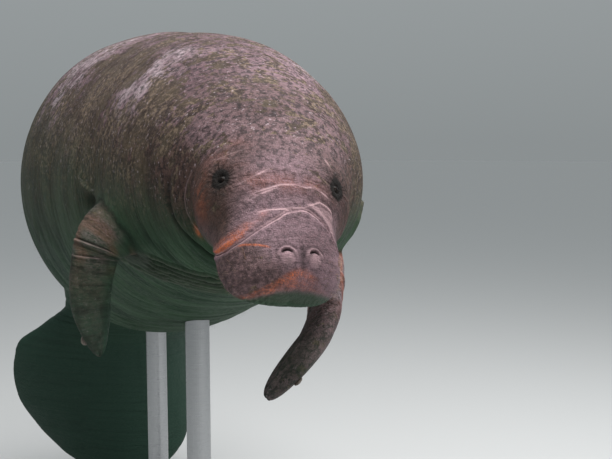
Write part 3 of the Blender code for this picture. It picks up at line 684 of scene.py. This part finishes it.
def skin_mesh(name, grid, tips, place, marks, limb):
    """A closed mesh from rows of points, with the body places and masks that the material reads."""
    rows, count = grid.shape[:2]
    flat = lambda values: np.concatenate([values.reshape(rows * count, -1), values[0].mean(axis=0)[None],
                                          values[-1].mean(axis=0)[None]])
    vertices = np.vstack([grid.reshape(-1, 3), tips])
    i, j = np.meshgrid(np.arange(rows - 1), np.arange(count), indexing="ij")
    k = (j + 1) % count
    quads = np.stack([i * count + j, i * count + k, (i + 1) * count + k, (i + 1) * count + j], -1).reshape(-1, 4)
    first, last, ring = rows * count, rows * count + 1, np.arange(count)
    fans = [np.stack([np.roll(ring, -1), ring, np.full(count, first)], -1),
            np.stack([ring, np.roll(ring, -1), np.full(count, last)], -1) + np.array([1, 1, 0]) * (rows - 1) * count]
    mesh = bpy.data.meshes.new(name)
    mesh.from_pydata(vertices.tolist(), [], quads.tolist() + np.vstack(fans).tolist())
    for title, kind, values in (("place", "FLOAT_VECTOR", flat(place)), ("limb", "FLOAT", np.full(len(vertices), limb)),
                                ("marks", "FLOAT_COLOR", flat(marks[..., :4])),
                                ("tones", "FLOAT_COLOR", flat(marks[..., 4:]))):
        layer = mesh.attributes.new(title, kind, "POINT")
        layer.data.foreach_set({"FLOAT_VECTOR": "vector", "FLOAT_COLOR": "color", "FLOAT": "value"}[kind],
                               np.ascontiguousarray(values, np.float32).ravel())
    bm = bmesh.new()
    bm.from_mesh(mesh)
    bmesh.ops.recalc_face_normals(bm, faces=bm.faces)
    bm.to_mesh(mesh)
    bm.free()
    obj = bpy.data.objects.new(name, mesh)
    bpy.context.scene.collection.objects.link(obj)
    return obj


def join_limb(body, limb):
    """Unite a flipper with the body, and apply it."""
    modifier = body.modifiers.new("Unite", "BOOLEAN")
    modifier.operation = "UNION"
    modifier.solver = "MANIFOLD"
    modifier.object = limb
    graph = bpy.context.evaluated_depsgraph_get()
    mesh = bpy.data.meshes.new_from_object(body.evaluated_get(graph))
    body.modifiers.clear()
    body.data = mesh
    bpy.data.objects.remove(limb)


def read(mesh, title, kind, width):
    values = np.zeros(len(mesh.vertices) * width, np.float32)
    mesh.attributes[title].data.foreach_get(kind, values)
    return values.reshape(-1, width)


def fill_new_vertices(body):
    """Give each vertex that a union made the place and masks of its nearest older neighbour."""
    mesh = body.data
    co = read(mesh, "position", "vector", 3)
    made = (read(mesh, "place", "vector", 3) == 0).all(axis=1)
    low, high = co[made].min(axis=0) - 0.02, co[made].max(axis=0) + 0.02
    older = np.nonzero(((co > low) & (co < high)).all(axis=1) & ~made)[0]
    tree = kdtree.KDTree(len(older))
    for vertex in older:
        tree.insert(co[vertex], int(vertex))
    tree.balance()
    source = [tree.find(point)[1] for point in co[made]]
    for title, kind, width in (("place", "vector", 3), ("limb", "value", 1), ("marks", "color", 4), ("tones", "color", 4)):
        values = read(mesh, title, kind, width)
        values[made] = values[source]
        mesh.attributes[title].data.foreach_set(kind, values.ravel())


def soften_junctions(body):
    """Relax the skin round the line where a flipper leaves the body, so that the two flow together, then paint shade
    along that line.
    """
    mesh = body.data
    co = read(mesh, "position", "vector", 3).astype(float)
    limb = read(mesh, "limb", "value", 1)[:, 0]
    edges = np.zeros(len(mesh.edges) * 2, np.int32)
    mesh.edges.foreach_get("vertices", edges)
    edges = edges.reshape(-1, 2)
    crossing = (limb[edges[:, 0]] > 0.5) != (limb[edges[:, 1]] > 0.5)
    border = np.unique(edges[crossing])
    tree = kdtree.KDTree(len(border))
    for place, vertex in enumerate(border):
        tree.insert(co[vertex], place)
    tree.balance()
    low, high = co[border].min(axis=0) - FILLET_REACH, co[border].max(axis=0) + FILLET_REACH
    near = np.nonzero(((co > low) & (co < high)).all(axis=1))[0]
    away = np.full(len(co), FILLET_REACH)
    away[near] = [tree.find(co[vertex])[2] for vertex in near]
    weight = ramp(FILLET_REACH, 0.25 * FILLET_REACH, away)
    busy = weight > 0
    links = edges[busy[edges].any(axis=1)]
    count = np.zeros(len(co))
    np.add.at(count, links.ravel(), 1.0)
    masks = [read(mesh, title, "color", 4).astype(float) for title in ("marks", "tones")]
    values = np.hstack([co, *masks])
    for step in range(FILLET_STEPS):
        share = weight[busy, None] * np.array([1.0] * 3 + [float(step < 10)] * 8)
        total = np.zeros_like(values)
        np.add.at(total, links[:, 0], values[links[:, 1]])
        np.add.at(total, links[:, 1], values[links[:, 0]])
        mean = total[busy] / count[busy, None]
        values[busy] += 0.5 * share * (mean - values[busy])
    # painted shade along the crease where each flipper meets the body
    dark, shade = 3 + Marks.names.index("dark"), 3 + Marks.names.index("belly")
    values[:, dark] += 0.36 * bump(away, 0.006) * (away < FILLET_REACH)
    values[:, shade] += 0.20 * bump(away, 0.014) * (away < FILLET_REACH)
    mesh.vertices.foreach_set("co", values[:, :3].astype(np.float32).ravel())
    for title, column in (("marks", 3), ("tones", 7)):
        layer = mesh.attributes[title].data
        layer.foreach_set("color", np.ascontiguousarray(values[:, column:column + 4], np.float32).ravel())
    mesh.update()


def new_material(name):
    material = bpy.data.materials.new(name)
    material.use_nodes = True
    return material, material.node_tree, material.node_tree.nodes["Principled BSDF"]


def node(tree, kind, settings=None, **inputs):
    """A new node with its settings, and inputs that are either values or other nodes' outputs."""
    made = tree.nodes.new("ShaderNode" + kind)
    for key, value in (settings or {}).items():
        setattr(made, key, value)
    for key, value in inputs.items():
        socket = made.inputs[int(key[1:])] if key[0] == "i" and key[1:].isdigit() else made.inputs[key]
        if isinstance(value, bpy.types.NodeSocket):
            tree.links.new(value, socket)
        else:
            socket.default_value = value
    return made


def mix(tree, share, a, b, blend="MIX"):
    """Mix two colours by a share that is a number or an output."""
    made = tree.nodes.new("ShaderNodeMix")
    made.data_type = "RGBA"
    made.blend_type = blend
    for index, value in ((0, share), (6, a), (7, b)):
        if isinstance(value, bpy.types.NodeSocket):
            tree.links.new(value, made.inputs[index])
        else:
            made.inputs[index].default_value = value if index == 0 else (*value[:3], 1.0)
    return made.outputs[2]


def between(tree, value, low, high, to_low=0.0, to_high=1.0):
    """Map a value from low..high to to_low..to_high, smoothly and clamped."""
    made = node(tree, "MapRange", {"interpolation_type": "SMOOTHSTEP"}, i0=value, i1=low, i2=high, i3=to_low, i4=to_high)
    return made.outputs[0]


def calc(tree, operation, a, b=0.0):
    return node(tree, "Math", {"operation": operation}, i0=a, i1=b).outputs[0]


def streaks(tree, vector, scale, detail=3.0, rough=0.55, distortion=0.0):
    """Noise whose grain is set apart along the body and round it by scale."""
    mapped = node(tree, "Mapping", i0=vector, i3=scale).outputs[0]
    made = node(tree, "TexNoise", i0=mapped, Scale=1.0, Detail=detail, Roughness=rough, Distortion=distortion)
    return made.outputs[0]


def shaded(tree, colour, share, amount):
    """Darken a colour towards black by an amount from 0 to 1, where share is 1."""
    return mix(tree, calc(tree, "MULTIPLY", share, amount), colour, (0.0, 0.0, 0.0))


def skin_material():
    """Mauve-grey hide with olive and brown growth, bare patches, pale scrapes, and painted green shade below."""
    material, tree, shader = new_material("manatee_skin")
    place = node(tree, "Attribute", {"attribute_name": "place"}).outputs["Vector"]
    marks = node(tree, "Attribute", {"attribute_name": "marks"})
    split = node(tree, "SeparateColor", i0=marks.outputs["Color"])
    orange, pale, dark, belly = *split.outputs[:3], marks.outputs["Alpha"]
    tones = node(tree, "Attribute", {"attribute_name": "tones"})
    split = node(tree, "SeparateColor", i0=tones.outputs["Color"])
    grown, stripped, brown, deep = *split.outputs[:3], tones.outputs["Alpha"]
    along = node(tree, "SeparateXYZ", i0=place).outputs[0]

    # mauve ground, cooler and warmer by turns, and brown on the sides (on the upper flanks partly painted shade)
    broad = streaks(tree, place, (9, 6, 6), 4)
    ground = mix(tree, between(tree, broad, 0.35, 0.65), MAUVE_DARK, MAUVE_LIGHT)
    ground = mix(tree, brown, ground, BROWN_HIDE)
    patchy = between(tree, streaks(tree, place, (24, 14, 14), 5, 0.65), 0.36, 0.60)
    ground = mix(tree, calc(tree, "MULTIPLY", stripped, patchy), ground, BARE_SKIN)
    mottle = between(tree, streaks(tree, place, (70, 52, 52), 4, 0.62), 0.56, 0.38)
    ground = shaded(tree, ground, calc(tree, "MULTIPLY", mottle, between(tree, along, 0.12, 0.24, 0.15, 0.34)), 1.0)
    fleck = streaks(tree, place, (140, 105, 105), 6, 0.70)
    worn = calc(tree, "MULTIPLY", between(tree, fleck, 0.54, 0.40), between(tree, along, 0.10, 0.30, 0.34, 0.68))
    ground = shaded(tree, ground, worn, 1.0)
    cells = node(tree, "TexVoronoi", {"feature": "DISTANCE_TO_EDGE"}, Scale=1.0,
                 i0=node(tree, "Mapping", i0=place, i3=(300, 260, 260)).outputs[0]).outputs[0]
    ground = shaded(tree, ground, between(tree, cells, 0.16, 0.02), 0.34)

    # olive and brown growth in ragged blotches, denser where the mask is high
    blotches = calc(tree, "MULTIPLY", streaks(tree, place, (58, 40, 40), 8, 0.70, 0.15), 0.44)
    strokes = calc(tree, "MULTIPLY", streaks(tree, place, (150, 30, 30), 4, 0.62, 0.3), 0.26)
    clouds = calc(tree, "MULTIPLY", streaks(tree, place, (19, 13, 13), 5, 0.65), 0.40)
    field = calc(tree, "ADD", calc(tree, "ADD", blotches, strokes), clouds)
    field = calc(tree, "ADD", field, node(tree, "MapRange", i0=grown, i3=-0.10, i4=0.16).outputs[0])
    growth = between(tree, field, 0.545, 0.585)
    tone = mix(tree, between(tree, streaks(tree, place, (30, 20, 20), 3), 0.38, 0.62), GROWTH_BROWN, GROWTH_OLIVE)
    tan = calc(tree, "MULTIPLY", between(tree, fleck, 0.49, 0.59), between(tree, broad, 0.40, 0.60, 0.3, 0.9))
    tone = mix(tree, tan, tone, GROWTH_TAN)
    colour = mix(tree, calc(tree, "MULTIPLY", growth, 0.92), ground, tone)
    scratch = calc(tree, "ABSOLUTE", calc(tree, "SUBTRACT", streaks(tree, place, (30, 20, 20), 2, 0.5, 2.0), 0.5))
    some = between(tree, streaks(tree, place, (12, 9, 9), 3), 0.50, 0.60)
    scratch = calc(tree, "MULTIPLY", calc(tree, "MULTIPLY", between(tree, scratch, 0.008, 0.002), some),
                   between(tree, along, 0.36, 0.55, 0.0, 0.40))
    colour = mix(tree, scratch, colour, BARE_SKIN)

    # small pale scrapes
    flakes = streaks(tree, place, (190, 120, 120), 4, 0.65)
    lit = between(tree, along, 0.16, 0.26)
    flakes = calc(tree, "MULTIPLY", between(tree, flakes, 0.60, 0.70, 0.0, 0.60), lit)
    colour = mix(tree, flakes, colour, BARE_SKIN)

    # painted shade: green-grey underside with faint rings, darker on the paddle and at the flippers' tips
    under = mix(tree, between(tree, streaks(tree, place, (26, 5, 5), 5, 0.6), 0.3, 0.7), GREEN_DARK, GREEN_LIGHT)
    rings = between(tree, streaks(tree, place, (140, 14, 14), 3), 0.5, 0.75, 0.0, 0.45)
    under = mix(tree, rings, under, GREEN_DARK)
    under = mix(tree, deep, under, DEEP_GREEN)
    colour = mix(tree, belly, colour, under)

    # rust growth, pale crease lines (with a painted highlight on the nostrils' rims and plugs), and painted shade in
    # hollows and creases with some dark mottles, from the masks
    rust = mix(tree, streaks(tree, place, (170, 110, 110), 5, 0.72), (0.22, 0.050, 0.022), (1.00, 0.270, 0.110))
    specks = between(tree, streaks(tree, place, (560, 430, 430), 2, 0.6), 0.36, 0.60, 0.35, 1.15)
    colour = mix(tree, calc(tree, "MULTIPLY", orange, specks), colour, rust)
    colour = mix(tree, calc(tree, "MULTIPLY", pale, 0.72), colour, PALE_LINE)
    colour = mix(tree, calc(tree, "MULTIPLY", dark, 0.96), colour, (0.005, 0.0045, 0.004))
    tree.links.new(colour, shader.inputs["Base Color"])

    shine = calc(tree, "ADD", between(tree, fleck, 0.3, 0.7, 0.50, 0.70), calc(tree, "MULTIPLY", dark, 0.25))
    tree.links.new(shine, shader.inputs["Roughness"])
    shader.inputs["Specular IOR Level"].default_value = 0.22

    # wrinkles, then pores, then grain
    fine = streaks(tree, place, (230, 40, 40), 4, 0.6, 0.4)
    folds = calc(tree, "ABSOLUTE", calc(tree, "SUBTRACT", fine, 0.5))
    folds = between(tree, folds, 0.0, 0.10)
    cross = streaks(tree, place, (46, 300, 300), 3, 0.6, 0.5)
    cross = between(tree, calc(tree, "ABSOLUTE", calc(tree, "SUBTRACT", cross, 0.5)), 0.0, 0.12)
    folds = calc(tree, "ADD", folds, calc(tree, "MULTIPLY", cross, between(tree, along, 0.16, 0.45, 0.60, 0.15)))
    pores = node(tree, "TexVoronoi", {"feature": "SMOOTH_F1"}, i0=place, Scale=300.0).outputs[0]
    grain = streaks(tree, place, (600, 480, 480), 3, 0.6)
    height = calc(tree, "ADD", calc(tree, "MULTIPLY", folds, 0.42), calc(tree, "MULTIPLY", pores, 0.45))
    height = calc(tree, "ADD", height, calc(tree, "MULTIPLY", grain, 0.30))
    height = calc(tree, "SUBTRACT", height, calc(tree, "MULTIPLY", growth, 0.25))
    lift = node(tree, "Bump", Strength=0.75, Distance=0.0022, Height=height)
    tree.links.new(lift.outputs[0], shader.inputs["Normal"])
    return material


def eye_material():
    """Dark wet eye: almost black, with a faint brown mottle that only shows up close."""
    material, tree, shader = new_material("manatee_eye")
    spot = node(tree, "TexCoord").outputs["Object"]
    mottle = node(tree, "TexNoise", i0=spot, Scale=220.0, Detail=4.0).outputs[0]
    colour = mix(tree, between(tree, mottle, 0.4, 0.65), (0.004, 0.0035, 0.0035), (0.014, 0.009, 0.007))
    tree.links.new(colour, shader.inputs["Base Color"])
    shader.inputs["Roughness"].default_value = 0.22
    shader.inputs["Specular IOR Level"].default_value = 0.08
    return material


def horn_material():
    """Worn horn with fine lines along the nail."""
    material, tree, shader = new_material("nail_horn")
    spot = node(tree, "TexCoord").outputs["Object"]
    lines = node(tree, "TexNoise", i0=node(tree, "Mapping", i0=spot, i3=(500, 500, 60)).outputs[0], Scale=1.0).outputs[0]
    colour = mix(tree, between(tree, lines, 0.35, 0.7), (0.075, 0.062, 0.050), (0.16, 0.130, 0.105))
    tree.links.new(colour, shader.inputs["Base Color"])
    shader.inputs["Roughness"].default_value = 0.42
    lift = node(tree, "Bump", Strength=0.3, Distance=0.0004, Height=lines)
    tree.links.new(lift.outputs[0], shader.inputs["Normal"])
    return material


def hair_material(name, dark, light):
    material, tree, shader = new_material(name)
    spot = node(tree, "TexCoord").outputs["Object"]
    change = node(tree, "TexNoise", i0=spot, Scale=60.0, Detail=2.0).outputs[0]
    tree.links.new(mix(tree, between(tree, change, 0.35, 0.65), dark, light), shader.inputs["Base Color"])
    shader.inputs["Roughness"].default_value = 0.45
    return material


def stand_materials():
    """Satin painted base with worn edges, and brushed rods."""
    material, tree, shader = new_material("stand_paint")
    spot = node(tree, "TexCoord").outputs["Object"]
    cloud = node(tree, "TexNoise", i0=spot, Scale=9.0, Detail=5.0).outputs[0]
    speck = node(tree, "TexNoise", i0=spot, Scale=900.0, Detail=2.0).outputs[0]
    paint = mix(tree, between(tree, cloud, 0.35, 0.65), (0.27, 0.28, 0.29), (0.31, 0.32, 0.33))
    edge = node(tree, "NewGeometry").outputs["Pointiness"]
    worn = calc(tree, "MULTIPLY", between(tree, edge, 0.53, 0.60), between(tree, speck, 0.35, 0.6))
    tree.links.new(mix(tree, worn, paint, (0.45, 0.46, 0.47)), shader.inputs["Base Color"])
    tree.links.new(between(tree, cloud, 0.3, 0.7, 0.38, 0.52), shader.inputs["Roughness"])
    lift = node(tree, "Bump", Strength=0.25, Distance=0.0005, Height=speck)
    tree.links.new(lift.outputs[0], shader.inputs["Normal"])
    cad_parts["stand_base"].data.materials.clear()
    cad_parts["stand_base"].data.materials.append(material)

    material, tree, shader = new_material("rod_steel")
    spot = node(tree, "TexCoord").outputs["Object"]
    brushed = node(tree, "TexNoise", i0=node(tree, "Mapping", i0=spot, i3=(14, 14, 900)).outputs[0],
                   Scale=1.0, Detail=4.0).outputs[0]
    tree.links.new(mix(tree, brushed, (0.30, 0.31, 0.32), (0.44, 0.45, 0.46)), shader.inputs["Base Color"])
    tree.links.new(between(tree, brushed, 0.3, 0.7, 0.26, 0.42), shader.inputs["Roughness"])
    shader.inputs["Metallic"].default_value = 1.0
    lift = node(tree, "Bump", Strength=0.12, Distance=0.0003, Height=brushed)
    tree.links.new(lift.outputs[0], shader.inputs["Normal"])
    for name in ("stand_rod_front", "stand_rod_rear"):
        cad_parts[name].data.materials.clear()
        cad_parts[name].data.materials.append(material)


def eyeball(side, sign):
    """A glossy eyeball in its pit, with a slight bulge for the cornea."""
    point, normal, across, along = surface_frame(EYE_S, 90 + sign * EYE_ANGLE)
    bm = bmesh.new()
    bmesh.ops.create_uvsphere(bm, u_segments=64, v_segments=48, radius=EYE_RADIUS)
    for vert in bm.verts:
        vert.co.z += 0.0012 * math.exp(-(vert.co.xy.length / 0.0055) ** 2) * (vert.co.z > 0)
    axes = Matrix((across, np.cross(normal, across), normal)).transposed().to_4x4()
    place = Matrix.Translation(point - normal * EYE_DEPTH) @ axes
    bmesh.ops.transform(bm, matrix=place, verts=bm.verts)
    mesh = bpy.data.meshes.new("eyeball_" + side)
    bm.to_mesh(mesh)
    bm.free()
    mesh.shade_smooth()
    mesh.materials.append(EYE)
    obj = bpy.data.objects.new("eyeball_" + side, mesh)
    bpy.context.scene.collection.objects.link(obj)
    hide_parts("eye_" + side)
    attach(obj, "root")


def nails(name, rows):
    """Three flat nails near a flipper's tip, each a curved shield that is sunk in the skin."""
    bm = bmesh.new()
    for share, aside in NAILS:
        near = np.array([share - 0.005, share, share + 0.005])
        centre, broad, flat, along, wide, thick = (values[1] for values in limb_frames(rows, near))
        point = centre + aside * wide * broad + OUTER[name] * math.sqrt(1 - aside**2) * thick * flat
        across, through, length = NAIL_SIZE
        axes = Matrix((broad * across, flat * through, along * length)).transposed().to_4x4()
        made = bmesh.ops.create_uvsphere(bm, u_segments=28, v_segments=18, radius=1.0)
        for vert in made["verts"]:
            square = max(abs(vert.co.x), abs(vert.co.z))
            vert.co.x *= 1 + 0.12 * square * (vert.co.z > 0)
        bmesh.ops.transform(bm, matrix=Matrix.Translation(point) @ axes, verts=made["verts"])
    mesh = bpy.data.meshes.new(name + "_nails")
    bm.to_mesh(mesh)
    bm.free()
    mesh.shade_smooth()
    mesh.materials.append(HORN)
    obj = bpy.data.objects.new(name + "_nails", mesh)
    bpy.context.scene.collection.objects.link(obj)
    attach(obj, "root")


def hairs(name, s, degrees, length, radius, lean, material, rng):
    """Hairs as thin tapered spikes with three sides, rooted in the skin and bent tailward."""
    s, degrees = np.asarray(s), np.asarray(degrees)
    vertices, faces, patches = [], [], []
    levels = (0.0, 0.35, 0.7, 1.0)
    for k in range(len(s)):
        point, normal, across, along = surface_frame(float(s[k]), float(degrees[k]))
        size, tilt = length[k], lean * rng.uniform(0.5, 1.5)
        sway = rng.uniform(-0.35, 0.35)
        start = len(vertices)
        for level in levels[:-1]:
            bend = tilt * level**1.5
            centre = point - normal * 0.003 + size * level * (normal + bend * along + sway * level * across)
            for corner in range(3):
                turn = 2 * math.pi * corner / 3
                spread = radius * (1 - 0.75 * level)
                vertices.append(centre + spread * (math.cos(turn) * across + math.sin(turn) * along))
                patches.append((degrees[k], s[k], corner / 3, level))
        vertices.append(point + size * (normal + tilt * along + sway * across))
        patches.append((degrees[k], s[k], 0.5, 1.0))
        for ring in range(len(levels) - 2):
            for corner in range(3):
                a, b = start + 3 * ring + corner, start + 3 * ring + (corner + 1) % 3
                faces.append((a, b, b + 3, a + 3))
        top = start + 3 * (len(levels) - 2)
        faces += [(top + corner, top + (corner + 1) % 3, start + 3 * (len(levels) - 1)) for corner in range(3)]
        faces.append((start + 2, start + 1, start))
    mesh = bpy.data.meshes.new(name)
    mesh.from_pydata([tuple(map(float, v)) for v in vertices], [], faces)
    layer = mesh.uv_layers.new(name="OFBake")
    patches = np.array(patches)
    u = (patches[:, 0] % 360) / 360 * 0.99 + patches[:, 2] * 0.003
    v = patches[:, 1] / LENGTH * 0.99 + patches[:, 3] * 0.003
    corner_vertex = np.zeros(len(mesh.loops), np.int32)
    mesh.loops.foreach_get("vertex_index", corner_vertex)
    layer.data.foreach_set("uv", np.stack([u, v], -1)[corner_vertex].astype(np.float32).ravel())
    mesh.materials.append(material)
    obj = bpy.data.objects.new(name, mesh)
    bpy.context.scene.collection.objects.link(obj)
    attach(obj, "root")


def muzzle_bristles():
    """Short stiff bristles on the lip pads and between the nostrils and the mouth."""
    rng = np.random.default_rng(7)
    count = 560
    s = 0.004 + 0.062 * rng.random(count) ** 0.8
    side = rng.uniform(0, 125, count)
    side = np.where(s < 0.045, side, np.maximum(side, 55))
    degrees = 90 + side * np.where(rng.random(count) < 0.5, 1, -1)
    keep = (side > 22) | (s < 0.018)
    s, degrees = s[keep], degrees[keep]
    length = 0.0040 + 0.0055 * rng.random(len(s)) ** 2
    hairs("muzzle_bristles", s, degrees, length, 0.00025, 0.35, BRISTLE, rng)


def body_hairs():
    """Single fine hairs set far apart over the whole body."""
    rng = np.random.default_rng(11)
    count = 1300
    s = 0.30 + 1.70 * rng.random(count)
    degrees = rng.uniform(0, 360, count)
    length = 0.008 + 0.010 * rng.random(count)
    hairs("body_hairs", s, degrees, length, 0.00012, 0.8, HAIR, rng)


def stage():
    """A plain pale floor, round and wide enough to meet the backdrop's tone at its edge."""
    bm = bmesh.new()
    bmesh.ops.create_circle(bm, cap_ends=True, segments=96, radius=FLOOR_RADIUS)
    mesh = bpy.data.meshes.new("floor")
    bm.to_mesh(mesh)
    bm.free()
    material, tree, shader = new_material("pale_floor")
    shader.inputs["Base Color"].default_value = (*FLOOR_COLOUR, 1.0)
    shader.inputs["Roughness"].default_value = 0.80
    shader.inputs["Specular IOR Level"].default_value = 0.1
    mesh.materials.append(material)
    floor = bpy.data.objects.new("floor", mesh)
    bpy.context.scene.collection.objects.link(floor)


def area_light(name, place, target, size, power, colour):
    data = bpy.data.lights.new(name, "AREA")
    data.shape = "RECTANGLE"
    data.size, data.size_y = size
    data.energy = power
    data.color = colour
    lamp = bpy.data.objects.new(name, data)
    lamp.location = Vector(place)
    lamp.rotation_euler = (Vector(target) - Vector(place)).to_track_quat("-Z", "Y").to_euler()
    bpy.context.scene.collection.objects.link(lamp)


def lights():
    """Soft light from above and from the viewer's right, and a backdrop that brightens upwards."""
    area_light("light_above", (0.5, -1.2, 4.2), (0, -0.1, 1.0), (3.0, 2.6), 190, (1.0, 0.985, 0.97))
    area_light("light_front", (1.6, -4.2, 2.2), (0, -0.8, 1.1), (2.4, 2.0), 40, (1.0, 0.98, 0.97))
    area_light("light_right", (3.2, -0.8, 2.4), (0, 0, 1.1), (2.0, 2.0), 20, (0.93, 0.98, 1.0))
    world = bpy.data.worlds.new("studio")
    world.use_nodes = True
    tree = world.node_tree
    height = node(tree, "SeparateXYZ", i0=node(tree, "TexCoord").outputs["Generated"]).outputs[2]
    rise = node(tree, "MapRange", i0=height, i1=0.0, i2=1.0, i3=HORIZON, i4=2 * HORIZON).outputs[0]
    background = tree.nodes["Background"]
    background.inputs[0].default_value = (*BACKDROP_COLOUR, 1.0)
    tree.links.new(rise, background.inputs[1])
    bpy.context.scene.world = world
    bpy.context.scene.view_settings.view_transform = "Standard"


def camera():
    data = bpy.data.cameras.new("camera")
    data.sensor_width = SENSOR
    data.lens = FOCAL_PIXELS / FRAME_WIDTH * SENSOR
    data.clip_start = 0.05
    obj = bpy.data.objects.new("camera", data)
    obj.location = CAMERA_PLACE
    obj.rotation_euler = [math.radians(turn) for turn in CAMERA_TURN]
    bpy.context.scene.collection.objects.link(obj)
    bpy.context.scene.camera = obj


EYE = eye_material()
HORN = horn_material()
BRISTLE = hair_material("bristle_hair", (0.22, 0.13, 0.09), (0.46, 0.30, 0.22))
HAIR = hair_material("fine_hair", (0.10, 0.08, 0.075), (0.20, 0.16, 0.15))

camera()
skin = body_skin()
for name, rows in FLIPPERS.items():
    join_limb(skin, flipper_skin(name, rows))
fill_new_vertices(skin)
soften_junctions(skin)
skin.data.materials.clear()
skin.data.materials.append(skin_material())
skin.data.shade_smooth()
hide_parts("head", "neck", "chest", "belly", "tail_stock", "tail_paddle", "flipper_right", "flipper_left")
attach(skin, "root")
for side, sign in (("right", 1), ("left", -1)):
    eyeball(side, sign)
for name, rows in FLIPPERS.items():
    nails(name, rows)
muzzle_bristles()
body_hairs()
stand_materials()
stage()
lights()
